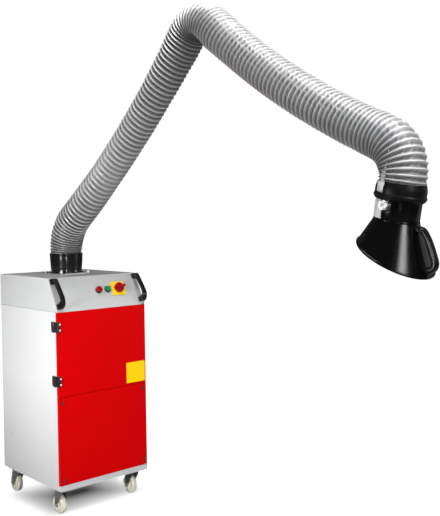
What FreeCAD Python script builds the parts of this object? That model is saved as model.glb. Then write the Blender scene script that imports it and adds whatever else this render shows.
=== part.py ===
import FreeCAD, Part
import math
import os
from FreeCAD import Vector as V

os.makedirs("parts", exist_ok=True)

# ---------------------------------------------------------------- dimensions
# Frame: origin on the floor under the middle of the cabinet, X to the right
# seen from the front, Y to the back, Z up, millimetres.
W = 550.0              # cabinet width
D = 624.0              # cabinet depth, door face to back
HX = W / 2.0
YF = -D / 2.0          # plane of the door and lower panel faces
YB = D / 2.0           # back plane
CASTER_H = 145.0       # floor to underside of the base
Z_BASE = CASTER_H
Z_STRIP = 174.0        # top of the visible base strip
Z_SEAM = 632.5         # joint between filter door and lower panel
Z_CONSOLE = 1070.0     # lower edge of the console cover
Z_TOP = 1241.0         # top face of the cabinet
PANEL_BACK = 90.0      # how far the sloping panel leans back
T = 2.0                # sheet thickness
FRONT_DEPTH = 20.0     # depth of the door and lower panel boxes
YP = YF + FRONT_DEPTH  # front edge of the cabinet sides

DUCT_Y = 52.0          # axis of the arm's turning duct
FLANGE = 190.0         # square flange on the top face
FLANGE_T = 4.0
BOLT_SQ = 86.0         # half the bolt square of that flange

HOSE_RO, HOSE_RI = 88.0, 84.5
LOW_RO, LOW_RI = 84.0, 80.5

SHOULDER = (52.0, 1432.0)      # pivots as (Y, Z) in the plane X = 0
ELBOW = (-1135.0, 2400.0)
WRIST = (-2205.0, 1765.0)

NECK_TILT = 11.0               # hood neck leans back toward the cabinet
NECK_TOP = (-2213.0, 1655.0)   # point of the neck axis at the hose end
NECK_R = 80.0
MOUTH_C = (-2182.0, 1396.5)    # middle of the hood mouth
MOUTH_R = 150.0
MOUTH_TILT = 30.0

WHEEL_R = 50.0
WHEEL_W = 32.0
CASTER_X = 225.0
CASTER_Y = 238.0
TRAIL = 27.0

FAN_Y = 20.0

STOP_X, START_X, SWITCH_X = 5.0, 63.0, 130.0   # controls on the panel
ROW_S = 105.5                                  # their row, measured up the slope

SLOPE = math.atan2(PANEL_BACK, Z_TOP - Z_CONSOLE)
SL_N = V(0, -math.cos(SLOPE), math.sin(SLOPE))   # outward normal of the panel
SL_U = V(0, math.sin(SLOPE), math.cos(SLOPE))    # up the panel
EX = V(1, 0, 0)
EY = V(0, 1, 0)
EZ = V(0, 0, 1)


# ------------------------------------------------------------------- helpers
def box(x0, x1, y0, y1, z0, z1):
    return Part.makeBox(x1 - x0, y1 - y0, z1 - z0, V(x0, y0, z0))


def cyl(r, h, p, d=EZ):
    return Part.makeCylinder(r, h, p, d)


def tube(ro, ri, h, p, d=EZ):
    n = V(d)
    n.normalize()
    return cyl(ro, h, p, d).cut(cyl(ri, h + 2.0, p - n, d))


def face_of(points):
    return Part.Face(Part.makePolygon(list(points) + [points[0]]))


def prism(points, vec):
    return face_of(points).extrude(vec)


def prism_yz(pts, x0, x1):
    return prism([V(x0, y, z) for y, z in pts], V(x1 - x0, 0, 0))


def prism_xz(pts, y0, y1):
    return prism([V(x, y0, z) for x, z in pts], V(0, y1 - y0, 0))


def prism_xy(pts, z0, z1):
    return prism([V(x, y, z0) for x, y in pts], V(0, 0, z1 - z0))


def fuse(first, *rest):
    out = first.fuse(list(rest)) if rest else first
    return out.removeSplitter()


def fillet(shape, r, pick):
    edges = [e for e in shape.Edges if pick(e)]
    return shape.makeFillet(r, edges) if edges else shape


def along(e, axis):
    if not isinstance(e.Curve, Part.Line):
        return False
    d = e.Curve.Direction
    return abs(d.dot(axis)) > 0.999


def save(name, *solids):
    flat = []
    for s in solids:
        flat += list(s.Solids)
    for s in flat:
        assert s.isValid() and s.Volume > 1.0, name
    shape = flat[0] if len(flat) == 1 else Part.makeCompound(flat)
    shape.exportStep("parts/%s.step" % name)
    b = shape.BoundBox
    print("%-20s solids %2d vol %11.0f  x %7.1f..%7.1f y %8.1f..%7.1f z %7.1f..%7.1f" % (
        name, len(flat), shape.Volume, b.XMin, b.XMax, b.YMin, b.YMax, b.ZMin, b.ZMax))


def on_panel(x, s, h=0.0):
    """Point on the sloping control panel: s up the slope, h out of it."""
    return V(x, YF, Z_CONSOLE) + SL_U * s + SL_N * h


# ------------------------------------------------------------ cabinet sheets
base = box(-HX + T, HX - T, YF, YB - T, Z_BASE, Z_STRIP)
base = base.cut(box(-HX + T + 3, HX - T - 3, YF + 3, YB - T - 3, Z_BASE + 4, Z_STRIP + 5))
for bx in (-200.0, 0.0, 200.0):
    base = base.cut(cyl(4.2, 10, V(bx, YF + 40, Z_BASE - 2)))
save("base_frame", base)


def side(sign):
    x_out, x_in = sign * HX, sign * (HX - T)
    prof = [(YF, Z_BASE), (YB, Z_BASE), (YB, Z_CONSOLE), (YP, Z_CONSOLE), (YP, Z_STRIP), (YF, Z_STRIP)]
    s = prism_yz(prof, min(x_out, x_in), max(x_out, x_in))
    fx0, fx1 = sorted((sign * (HX - T), sign * (HX - T - 14)))
    s = s.fuse(box(fx0, fx1, YP, YP + T, Z_STRIP + 2, Z_CONSOLE - 6))
    return s.removeSplitter()


save("side_panel_left", side(-1))
save("side_panel_right", side(1))

rear = box(-HX + T, HX - T, YB - T, YB, Z_BASE, Z_CONSOLE)
for i in range(8):
    z = 508.0 + 14.0 * i
    rear = rear.cut(box(32, 188, YB - 6, YB + 4, z, z + 8))
rear = rear.cut(cyl(10.4, 20, V(-200, YB - 10, 260), EY))
save("rear_panel", rear)

# console cover: closed above, sloping front, open below
outer_prof = [(YF, Z_CONSOLE), (YF + PANEL_BACK, Z_TOP), (YB, Z_TOP), (YB, Z_CONSOLE)]
cs = T / math.cos(SLOPE)
ti = math.tan(SLOPE)
inner_prof = [(YF + cs - 3 * ti, Z_CONSOLE - 3), (YF + cs + (Z_TOP - T - Z_CONSOLE) * ti, Z_TOP - T),
              (YB - T, Z_TOP - T), (YB - T, Z_CONSOLE - 3)]
console = prism_yz(outer_prof, -HX, HX)
console = fillet(console, 4.0, lambda e: along(e, EX) and min(e.Vertexes[0].Z, e.Vertexes[-1].Z) > Z_TOP - 1
                 and e.Vertexes[0].Y < 0)
console = console.cut(prism_yz(inner_prof, -HX + T, HX - T))
console = console.cut(cyl(82.2, 20, V(0, DUCT_Y, Z_TOP - 10)))
for x, s, r in ((STOP_X, ROW_S, 11.2), (START_X, ROW_S, 11.2), (SWITCH_X, ROW_S, 12.0)):
    console = console.cut(cyl(r, 30, on_panel(x, s, -15), SL_N))
save("console_cover", console)

deck = box(-HX + T, HX - T, YP, YB - T, 630, 633)
deck = deck.cut(cyl(100, 10, V(0, FAN_Y, 626)))
for x0, x1 in ((-HX, -HX + T + 14), (HX - T - 14, HX)):
    deck = deck.cut(box(x0, x1, YP - 1, YP + T, 620, 640))
deck = fuse(deck, box(-HX + T + 15, HX - T - 15, YP, YP + T, 633, 646))
save("mid_deck", deck)

roof = box(-HX + T, HX - T, YP, YB - T, 1064, 1067)
roof = roof.cut(cyl(82.2, 10, V(0, DUCT_Y, 1060)))
roof = fuse(roof, box(-HX + T + 15, HX - T - 15, YP, YP + T, 1050, 1064))
save("chamber_roof", roof)


def front_box(z0, z1):
    s = box(-HX, HX, YF, YP, z0, z1)
    s = fillet(s, 3.0, lambda e: (along(e, EZ) or along(e, EX)) and abs(e.Vertexes[0].Y - YF) < 0.01
               and abs(e.Vertexes[-1].Y - YF) < 0.01)
    return s.cut(box(-HX + T, HX - T, YF + T, YP + 5, z0 + T, z1 - T))


lower = front_box(Z_STRIP + 0.5, Z_SEAM - 1.0)
SCREW_AT = [(-256, 604), (-256, 201), (256, 604), (256, 201)]
for x, z in SCREW_AT:
    lower = lower.cut(cyl(3.3, 10, V(x, YF - 4, z), EY))
save("lower_panel", lower)

screws = []
for x, z in SCREW_AT:
    head = box(x - 4.5, x + 4.5, YF - 1.6, YF, z - 7, z + 7)
    head = head.fuse(cyl(4.5, 1.6, V(x, YF - 1.6, z - 7), EY)).fuse(cyl(4.5, 1.6, V(x, YF - 1.6, z + 7), EY))
    head = head.fuse(cyl(3.0, FRONT_DEPTH, V(x, YF, z), EY)).removeSplitter()
    head = head.cut(box(x - 0.8, x + 0.8, YF - 2, YF - 0.9, z - 6, z + 6))
    screws.append(head)
save("panel_screws", *screws)

# --------------------------------------------------------------- filter door
door = front_box(Z_SEAM + 1.0, Z_CONSOLE - 1.5)
save("filter_door", door)
z0, z1 = Z_SEAM + 4.0, Z_CONSOLE - 4.5
seal = box(-271, 271, YF + T, YP - 0.3, z0, z1).cut(box(-259, 259, YF, YP + 2, z0 + 12, z1 - 12))
save("door_seal", seal)
save("label_card", box(145, 267, YF - 0.6, YF, 645, 757))

HINGE_X, HINGE_Y = -HX - 8.0, YP + 4.0
HINGE_Z = [(687.0, 741.0), (967.0, 1021.0)]
fixed, moving = [], []
for a, b in HINGE_Z:
    k = (b - a) / 3.0
    leaf = box(-HX - 5, -HX, HINGE_Y + 7.5, HINGE_Y + 34, a, b)
    leaf = fillet(leaf, 2.0, lambda e: along(e, EX))
    for q0, q1 in ((a, a + k - 0.3), (b - k + 0.3, b)):
        leaf = leaf.fuse(cyl(7, q1 - q0, V(HINGE_X, HINGE_Y, q0)))
        leaf = leaf.fuse(box(HINGE_X, -HX, HINGE_Y, HINGE_Y + 8, q0, q1))
    leaf = leaf.fuse(cyl(3.0, b - a, V(HINGE_X, HINGE_Y, a)))
    fixed.append(leaf.removeSplitter())
    arm = box(-HX - 5, -HX, YF - 3.0, YP - 4.5, a, b).fuse(box(-HX - 5, -HX + 16, YF - 3.0, YF, a, b))
    arm = fillet(arm.removeSplitter(), 1.5, lambda e: along(e, EZ) and abs(e.Vertexes[0].Y - (YF - 3.0)) < 0.01)
    arm = arm.fuse(cyl(7, k - 0.6, V(HINGE_X, HINGE_Y, a + k + 0.3)))
    arm = arm.fuse(box(HINGE_X - 7, -HX - 0.0, YP - 6, HINGE_Y, a + k + 0.3, b - k - 0.3).cut(
        box(-HX - 2.0, -HX + 1, YP + 0.0, HINGE_Y + 1, a, b)))
    arm = arm.cut(cyl(3.08, b - a + 2, V(HINGE_X, HINGE_Y, a - 1)))
    for zz in (a + 12, b - 12):
        arm = arm.fuse(cyl(4.2, 1.8, V(-HX + 9.5, YF - 2.9, zz), V(0, -1, 0)))
    moving.append(arm.removeSplitter())
save("hinge_leaves", *fixed)
save("door_hinge_arms", *moving)

# ------------------------------------------------------------ filter package
FX, FY0, FY1 = 240.0, -270.0, 250.0
fseal = box(-FX, FX, FY0, FY1, 633, 641).cut(box(-FX + 22, FX - 22, FY0 + 22, FY1 - 22, 630, 645))
save("filter_seal", fseal)
cas = box(-FX, FX, FY0, FY1, 641, 931).cut(box(-FX + 5, FX - 5, FY0 + 5, FY1 - 5, 645, 935))
cas = cas.cut(box(-FX + 25, FX - 25, FY0 + 25, FY1 - 25, 638, 650))
for x in (-120.0, 120.0):
    cas = cas.cut(box(x - 55, x + 55, FY0 - 2, FY0 + 8, 896, 924))
save("filter_cassette", cas)
n, pitch, thick = 16, 29.0, 4.0
zig_up, zig_dn = [], []
for i in range(n + 1):
    x = -232.0 + pitch * i
    zig_up.append((x, 655.0 if i % 2 else 885.0))
for i in range(n, -1, -1):
    x = -232.0 + pitch * i
    zig_dn.append((x, (655.0 if i % 2 else 885.0) - 30.0 * (0.0 if i % 2 else 1.0) + (0.0 if i % 2 else 0.0)))
zig_dn = [(x, z if z > 700 else 646.0) for x, z in zig_dn]
save("filter_media", prism_xz(zig_up + zig_dn, FY0 + 6, FY1 - 6))
spark = box(-FX, FX, FY0, FY1, 931, 979).cut(box(-FX + 3, FX - 3, FY0 + 3, FY1 - 3, 925, 990))
mesh = box(-FX + 3, FX - 3, FY0 + 3, FY1 - 3, 950, 953)
for i in range(8):
    for j in range(8):
        mesh = mesh.cut(box(-228 + 58 * i, -228 + 58 * i + 50, -258 + 63 * j, -258 + 63 * j + 54, 945, 958))
save("spark_filter", spark.fuse(mesh).removeSplitter())

# ------------------------------------------------------------- fan and motor
HZ0, HZ1 = 500.0, 624.0
vol_o = cyl(200, HZ1 - HZ0, V(0, FAN_Y, HZ0)).fuse(box(20, 200, FAN_Y, YB - T, HZ0, HZ1))
vol_i = cyl(198, HZ1 - HZ0 - 2 * T, V(0, FAN_Y, HZ0 + T)).fuse(
    box(22, 198, FAN_Y, YB + 10, HZ0 + T, HZ1 - T))
housing = vol_o.fuse(cyl(120, 630 - HZ1, V(0, FAN_Y, HZ1))).removeSplitter().cut(vol_i.removeSplitter())
housing = housing.cut(cyl(100, 20, V(0, FAN_Y, HZ1 - 6))).cut(cyl(70, 12, V(0, FAN_Y, HZ0 - 5)))
save("fan_housing", housing)

wheel = tube(165, 12.05, 3, V(0, FAN_Y, 520)).fuse(tube(30, 12.05, 50, V(0, FAN_Y, 510)))
wheel = wheel.fuse(tube(165, 102, 3, V(0, FAN_Y, 600)))
for i in range(10):
    b = box(0, 78, -1.2, 1.2, 521, 602)
    b.rotate(V(0, 0, 0), EZ, 35)
    b.translate(V(96, 0, 0))
    b.rotate(V(0, 0, 0), EZ, 36 * i)
    b.translate(V(0, FAN_Y, 0))
    wheel = wheel.fuse(b)
wheel = wheel.common(cyl(165, 200, V(0, FAN_Y, 450))).removeSplitter()
save("impeller", wheel)
save("motor_shaft", cyl(12, 262, V(0, FAN_Y, 300)))
motor = cyl(75, 212, V(0, FAN_Y, 280)).fuse(cyl(95, 10, V(0, FAN_Y, 490)))
for i in range(18):
    f = box(73, 82, -1.5, 1.5, 300, 470)
    f.rotate(V(0, 0, 0), EZ, 20 * i)
    f.translate(V(0, FAN_Y, 0))
    motor = motor.fuse(f)
motor = motor.fuse(box(60, 120, FAN_Y - 40, FAN_Y + 40, 360, 440)).removeSplitter()
motor = motor.cut(cyl(12.5, 240, V(0, FAN_Y, 295)))
save("motor", motor)

ctrl = box(-250, -130, -60, 220, 1067, 1187).cut(box(-247, -127, -57, 217, 1070, 1184))
ctrl = ctrl.fuse(box(-240, -150, 0, 160, 1069, 1140)).removeSplitter()
save("control_box", ctrl)

gland = cyl(15, 6, V(-200, YB, 260), EY).fuse(cyl(12, 14, V(-200, YB + 6, 260), EY))
gland = gland.fuse(cyl(10, T + 14, V(-200, YB - T - 14, 260), EY)).removeSplitter()
gland = gland.cut(cyl(5.5, 60, V(-200, YB - 30, 260), EY))
save("cable_gland", gland)

# ------------------------------------------------------------ console pieces


def bridge(x):
    # the grip stands further off the panel at its lower end
    pts = [(16, 0), (12, 14), (13.5, 28), (20, 41), (30, 50.5), (40, 55.5), (54, 57.5), (72, 56.5), (95, 52.5),
           (118.5, 48.5), (146, 43.5), (165.5, 38.5), (175, 33.5), (181, 24), (184.5, 10), (185, 0), (155, 0),
           (152, 12), (147, 26), (141.5, 33.5), (131.5, 37.6), (97, 43.5), (80.4, 46.4), (61, 48), (50.5, 46),
           (43.5, 40), (41, 30), (41.5, 18), (44, 0)]
    h = prism([on_panel(x - 14, s, t) for s, t in pts], EX * 28)
    return fillet(h, 3.0, lambda e: not along(e, EX) and e.Length > 3)


save("console_handles", bridge(-257), bridge(257))

SX = SWITCH_X
plate = prism([on_panel(SX - 42, ROW_S - 40), on_panel(SX + 42, ROW_S - 40), on_panel(SX + 42, ROW_S + 40),
               on_panel(SX - 42, ROW_S + 40)], SL_N * 4)
plate = fillet(plate, 7.0, lambda e: along(e, SL_N))
plate = plate.fuse(cyl(28.5, 8, on_panel(SX, ROW_S, 0), SL_N)).removeSplitter()
plate = plate.fuse(cyl(11.5, 40, on_panel(SX, ROW_S, -40), SL_N)).fuse(
    prism([on_panel(SX - 30, ROW_S - 30, -60), on_panel(SX + 30, ROW_S - 30, -60), on_panel(SX + 30, ROW_S + 30, -60),
           on_panel(SX - 30, ROW_S + 30, -60)], SL_N * 52)).removeSplitter()
plate = plate.cut(cyl(4.2, 30, on_panel(SX, ROW_S, -15), SL_N))
save("switch_plate", plate)

knob = cyl(26.5, 17, on_panel(SX, ROW_S, 8.5), SL_N)
bar = prism([on_panel(SX - 23, ROW_S - 7, 24), on_panel(SX + 36, ROW_S - 7, 24), on_panel(SX + 36, ROW_S + 7, 24),
             on_panel(SX - 23, ROW_S + 7, 24)], SL_N * 9)
bar = fillet(bar, 5.0, lambda e: along(e, SL_N))
knob = knob.fuse(bar).fuse(cyl(4.0, 24, on_panel(SX, ROW_S, -12), SL_N)).removeSplitter()
knob.rotate(on_panel(SX, ROW_S), SL_N, 11)
save("switch_knob", knob)

bezels = []
for x in (STOP_X, START_X):
    b = cyl(19, 5, on_panel(x, ROW_S), SL_N).fuse(cyl(11, 46, on_panel(x, ROW_S, -46), SL_N)).fuse(
        prism([on_panel(x - 18, ROW_S - 18, -62), on_panel(x + 18, ROW_S - 18, -62),
               on_panel(x + 18, ROW_S + 18, -62), on_panel(x - 18, ROW_S + 18, -62)], SL_N * 40)).removeSplitter()
    b = b.cut(cyl(9.0, 40, on_panel(x, ROW_S, -18), SL_N)).cut(cyl(15.2, 8, on_panel(x, ROW_S, 2), SL_N))
    bezels.append(b)
save("button_bezels", *bezels)
stop = cyl(8.6, 17, on_panel(STOP_X, ROW_S, -8), SL_N).fuse(cyl(18.0, 8, on_panel(STOP_X, ROW_S, 9), SL_N))
stop = fillet(stop.removeSplitter(), 3.0, lambda e: isinstance(e.Curve, Part.Circle)
              and abs(e.Curve.Radius - 18.0) < 0.01 and (e.Curve.Center - on_panel(STOP_X, ROW_S, 17)).Length < 0.5)
save("stop_button", stop)
start = cyl(8.6, 16, on_panel(START_X, ROW_S, -8), SL_N).fuse(cyl(14.8, 9, on_panel(START_X, ROW_S, 6), SL_N))
start = fillet(start.removeSplitter(), 2.0, lambda e: isinstance(e.Curve, Part.Circle)
               and abs(e.Curve.Radius - 14.8) < 0.01 and (e.Curve.Center - on_panel(START_X, ROW_S, 15)).Length < 0.5)
save("start_button", start)

# ------------------------------------------------------------------- casters
plates = []
for sx in (-1, 1):
    for sy in (-1, 1):
        cx, cy = sx * CASTER_X, sy * CASTER_Y
        p = box(cx - 42, cx + 42, cy - 50, cy + 50, Z_BASE - 5, Z_BASE)
        p = fillet(p, 6.0, lambda e: along(e, EZ))
        p = p.fuse(cyl(27, 8, V(cx, cy, Z_BASE - 13)))
        p = p.fuse(cyl(7.0, 20, V(cx, cy, Z_BASE - 28))).fuse(cyl(11.0, 5, V(cx, cy, Z_BASE - 28)))
        for bx in (-32, 32):
            for by in (-40, 40):
                p = p.fuse(cyl(6.5, 5, V(cx + bx, cy + by, Z_BASE - 10)))
        plates.append(p.removeSplitter())
save("caster_plates", *plates)

for tag, sx, sy in (("fl", -1, -1), ("fr", 1, -1), ("rl", -1, 1), ("rr", 1, 1)):
    cx, cy = sx * CASTER_X, sy * CASTER_Y
    ax = cy + TRAIL
    top = cyl(29, 4, V(cx, cy, Z_BASE - 17.5)).fuse(box(cx - 22, cx + 22, cy - 26, cy + 34, Z_BASE - 21.5, Z_BASE - 17.5))
    prof = [(cy - 26, Z_BASE - 17.5), (cy + 34, Z_BASE - 17.5), (cy + 40, 92), (ax + 13, 46), (ax + 6, 38),
            (ax - 6, 38), (ax - 13, 46), (cy - 10, 96), (cy - 26, 112)]
    legs = prism_yz(prof, cx - 22, cx - 19).fuse(prism_yz(prof, cx + 19, cx + 22))
    fork = top.fuse(legs).removeSplitter()
    fork = fork.cut(cyl(7.35, 30, V(cx, cy, Z_BASE - 30)))
    fork = fork.cut(cyl(5.0, 60, V(cx - 30, ax, WHEEL_R), EX))
    bolt = cyl(5.0, 44, V(cx - 22, ax, WHEEL_R), EX)
    bolt = bolt.fuse(cyl(9, 6, V(cx - 28, ax, WHEEL_R), EX)).fuse(cyl(9, 6, V(cx + 22, ax, WHEEL_R), EX))
    save("caster_fork_" + tag, fork, bolt.removeSplitter())
    wh = cyl(WHEEL_R, WHEEL_W, V(cx - WHEEL_W / 2, ax, WHEEL_R), EX)
    wh = fillet(wh, 6.0, lambda e: isinstance(e.Curve, Part.Circle))
    for s in (-1, 1):
        ring = tube(37, 15, 7, V(cx + s * (WHEEL_W / 2 + 1) - (7 if s > 0 else 0), ax, WHEEL_R), EX)
        wh = wh.cut(ring)
    wh = wh.fuse(cyl(14, 37, V(cx - 18.5, ax, WHEEL_R), EX)).removeSplitter()
    wh = wh.cut(cyl(5.08, 60, V(cx - 30, ax, WHEEL_R), EX))
    save("wheel_" + tag, wh)

# ------------------------------------------------------------ top flange
fl = box(-FLANGE / 2, FLANGE / 2, DUCT_Y - FLANGE / 2, DUCT_Y + FLANGE / 2, Z_TOP, Z_TOP + FLANGE_T)
fl = fillet(fl, 8.0, lambda e: along(e, EZ))
fl = fl.fuse(cyl(81.6, 236, V(0, DUCT_Y, 1064))).removeSplitter().cut(cyl(79.6, 260, V(0, DUCT_Y, 1050)))
for sx in (-1, 1):
    for sy in (-1, 1):
        fl = fl.cut(cyl(5.3, 20, V(sx * BOLT_SQ, DUCT_Y + sy * BOLT_SQ, Z_TOP - 5)))
save("arm_flange", fl)
bolts = []
for sx in (-1, 1):
    for sy in (-1, 1):
        x, y = sx * BOLT_SQ, DUCT_Y + sy * BOLT_SQ
        hexa = prism_xy([(x + 8.6 * math.cos(math.radians(60 * k)), y + 8.6 * math.sin(math.radians(60 * k)))
                         for k in range(6)], Z_TOP + FLANGE_T, Z_TOP + FLANGE_T + 6)
        b = hexa.fuse(Part.makeSphere(7.4, V(x, y, Z_TOP + FLANGE_T + 6)).common(
            box(x - 9, x + 9, y - 9, y + 9, Z_TOP + FLANGE_T + 6, Z_TOP + FLANGE_T + 16)))
        b = b.fuse(cyl(5.0, FLANGE_T - 0.1, V(x, y, Z_TOP + 0.1)))
        bolts.append(b.removeSplitter())
save("flange_bolts", *bolts)

# --------------------------------------------------------------- arm: base
sw = tube(85, 82, 111, V(0, DUCT_Y, Z_TOP + FLANGE_T))
sw = sw.fuse(tube(92, 82, 5, V(0, DUCT_Y, Z_TOP + FLANGE_T))).removeSplitter()
save("swivel_duct", sw)
cuff = tube(90.5, 85, 51, V(0, DUCT_Y, 1304))
cuff = cuff.fuse(tube(92.5, 85, 7, V(0, DUCT_Y, 1304))).fuse(tube(92.5, 85, 5, V(0, DUCT_Y, 1350))).removeSplitter()
save("base_cuff", cuff)

SY, SZ = SHOULDER
br = box(-14, 14, DUCT_Y - 81.5, DUCT_Y + 81.5, 1310, 1322).common(cyl(81.8, 60, V(0, DUCT_Y, 1290)))
br = br.fuse(box(-19, 19, DUCT_Y - 26, DUCT_Y + 26, 1316, 1328))
br = br.fuse(box(-21, -16, SY - 20, SY + 20, 1318, SZ)).fuse(box(16, 21, SY - 20, SY + 20, 1318, SZ))
br = br.fuse(cyl(20, 5, V(-21, SY, SZ), EX)).fuse(cyl(20, 5, V(16, SY, SZ), EX)).removeSplitter()
br = br.cut(cyl(7.0, 60, V(-30, SY, SZ), EX))
save("shoulder_bracket", br)


# ------------------------------------------------------------ hose segments
class Route:
    """Planar centre line in the plane X = 0: straight runs and tangent arcs."""

    def __init__(self, y, z, heading):
        self.y, self.z, self.h = y, z, heading

    def _dir(self, h=None):
        a = math.radians(self.h if h is None else h)
        return V(0, -math.cos(a), math.sin(a))

    def _disc(self, radius):
        p, d = V(0, self.y, self.z), self._dir()
        return Part.Face(Part.Wire([Part.Circle(p, d, radius).toShape()]))

    def line(self, length, ro, ri):
        d = self._dir()
        out = self._disc(ro).extrude(d * length).cut(self._disc(ri).extrude(d * length))
        self.y += d.y * length
        self.z += d.z * length
        return out

    def arc(self, radius, turn, ro, ri):
        # a positive turn steers the route upward
        sign = 1.0 if turn > 0 else -1.0
        up = V(0, math.sin(math.radians(self.h)), math.cos(math.radians(self.h)))
        c = V(0, self.y, self.z) + up * (sign * radius)
        axis = V(-sign, 0, 0)
        both = []
        for rr in (ro, ri):
            s = self._disc(rr).revolve(c, axis, abs(turn))
            if s.Volume < 0:
                s.reverse()
            both.append(s)
        a = math.radians(turn)
        p = V(0, self.y, self.z) - c
        self.y = c.y + p.y * math.cos(a) + p.z * math.sin(a)
        self.z = c.z - p.y * math.sin(a) + p.z * math.cos(a)
        self.h += turn
        return both[0].cut(both[1])

    def __str__(self):
        return "(%.1f, %.1f) heading %.2f" % (self.y, self.z, self.h)


r = Route(DUCT_Y, 1356.0, 90.0)
save("hose_base", r.arc(240.0, -56.87, LOW_RO + 3, LOW_RI + 3))
print("end of base bend", r)
h1 = r.arc(5654.5, 11.72, LOW_RO, LOW_RI)
h2 = r.line(88.0, LOW_RO, LOW_RI)
save("hose_lower", fuse(h1, h2))
print("end of lower run", r)
h1 = r.line(62.0, HOSE_RO, HOSE_RI)
h2 = r.arc(112.0, -82.62, HOSE_RO, HOSE_RI)
h3 = r.line(80.0, HOSE_RO, HOSE_RI)
save("hose_elbow", fuse(h1, h2, h3))
print("end of elbow", r)
h1 = r.line(100.0, HOSE_RO - 1, HOSE_RI - 1)
h2 = r.arc(3798.3, 12.72, HOSE_RO - 1, HOSE_RI - 1)
save("hose_upper", fuse(h1, h2))
print("end of upper run", r)
h1 = r.line(77.0, HOSE_RO + 2, HOSE_RI + 2)
h2 = r.arc(137.0, -101.0 - r.h, HOSE_RO + 2, HOSE_RI + 2)
h3 = r.line(12.0, HOSE_RO + 2, HOSE_RI + 2)
save("hose_wrist", fuse(h1, h2, h3))
print("neck start", r)
NECK = V(0, r.y, r.z)


# ------------------------------------------------------------------ arm links
def link(a, b, x0, x1, half, boss, hole_a, hole_b, trim_a=0.0, trim_b=0.0):
    """Flat-sided bar between two pivots given as (Y, Z)."""
    dy, dz = b[0] - a[0], b[1] - a[1]
    L = math.hypot(dy, dz)
    d = V(0, dy / L, dz / L)
    q = V(0, -d.z, d.y)
    pa, pb = V(x0, a[0], a[1]), V(x0, b[0], b[1])
    w = x1 - x0
    body = prism([pa + q * half, pb + q * half, pb - q * half, pa - q * half], EX * w)
    body = body.fuse(cyl(boss, w, pa, EX)).fuse(cyl(boss, w, pb, EX)).removeSplitter()
    wall = 3.0
    pocket = [pa + d * 130 + q * (half - wall), pb - d * 130 + q * (half - wall),
              pb - d * 130 - q * (half - wall), pa + d * 130 - q * (half - wall)]
    body = body.cut(prism([c + EX * wall for c in pocket], EX * w))
    body = body.cut(cyl(hole_a, w + 4, pa - EX * 2, EX)).cut(cyl(hole_b, w + 4, pb - EX * 2, EX))
    return body


# lower link: box section between two cheeks at the elbow end
low = link(SHOULDER, ELBOW, -15.0, 15.0, 18.0, 20.0, 7.0, 7.0)
dy, dz = ELBOW[0] - SHOULDER[0], ELBOW[1] - SHOULDER[1]
LL = math.hypot(dy, dz)
ld = V(0, dy / LL, dz / LL)
lq = V(0, -ld.z, ld.y)
e0 = V(-20, ELBOW[0], ELBOW[1])
slot = prism([e0 - ld * 60 + lq * 30, e0 + ld * 40 + lq * 30, e0 + ld * 40 - lq * 30, e0 - ld * 60 - lq * 30], EX * 40)
low = low.cut(slot)
for x0 in (-21.0, 16.0):
    p = V(x0, ELBOW[0], ELBOW[1])
    cheek = prism([p - ld * 110 + lq * 18, p + lq * 18, p - lq * 18, p - ld * 110 - lq * 18], EX * 5)
    cheek = cheek.fuse(cyl(20, 5, p, EX))
    cheek = cheek.cut(cyl(7.0, 10, p - EX * 2, EX))
    low = low.fuse(cheek)
    tie = prism([p - ld * 110 + lq * 18, p - ld * 75 + lq * 18, p - ld * 75 - lq * 18, p - ld * 110 - lq * 18],
                EX * 5)
    low = low.fuse(tie)
low = low.fuse(prism([e0 + EX * 4 - ld * 110 + lq * 18, e0 + EX * 4 - ld * 75 + lq * 18,
                      e0 + EX * 4 - ld * 75 - lq * 18, e0 + EX * 4 - ld * 110 - lq * 18], EX * 32)).removeSplitter()
save("lower_link", low)

up_l = link(ELBOW, WRIST, -15.0, 15.0, 16.0, 19.0, 7.0, 7.0)
save("upper_link", up_l)


def pin(at, x0, x1, r_pin=6.95, r_head=12.0):
    p = cyl(r_pin, x1 - x0, V(x0, at[0], at[1]), EX)
    p = p.fuse(cyl(r_head, 6, V(x0 - 6, at[0], at[1]), EX)).fuse(cyl(r_head, 6, V(x1, at[0], at[1]), EX))
    return p.removeSplitter()


save("shoulder_pin", pin(SHOULDER, -21, 21))
save("elbow_pin", pin(ELBOW, -21, 21))

# ----------------------------------------------------------------------- hood
na = math.radians(NECK_TILT)
A = V(0, math.sin(na), -math.cos(na))       # down the neck
FW = V(0, -math.cos(na), -math.sin(na))     # forward, square to the neck
NECK_L = 135.0


def nk(s, f=0.0, x=0.0):
    return NECK + A * s + FW * f + EX * x


def sector(ro, ri, s0, s1, ang_mid, ang_half):
    """Part of a ring round the neck; the angle is from -X toward the back."""
    ring = cyl(ro, s1 - s0, nk(s0), A).cut(cyl(ri, s1 - s0 + 2, nk(s0 - 1), A))
    pts = [nk(s0 - 1)]
    for k in range(-2, 3):
        a = math.radians(ang_mid + ang_half * k / 2.0)
        pts.append(nk(s0 - 1) + (EX * -math.cos(a) - FW * math.sin(a)) * (ro + 40))
    return ring.common(prism(pts, A * (s1 - s0 + 2)))


STRAP_MID, STRAP_HALF = 22.0, 8.6
PLATE_MID, PLATE_HALF = 31.5, 22.5     # the straps widen below the hose end
neck = tube(NECK_R, NECK_R - 3.0, NECK_L - 6.3, nk(6.0), A)
KNOB_S = 80.0
neck = neck.cut(cyl(5.1, 200, nk(KNOB_S, 0, -100), EX))
save("hood_neck", neck)

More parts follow.
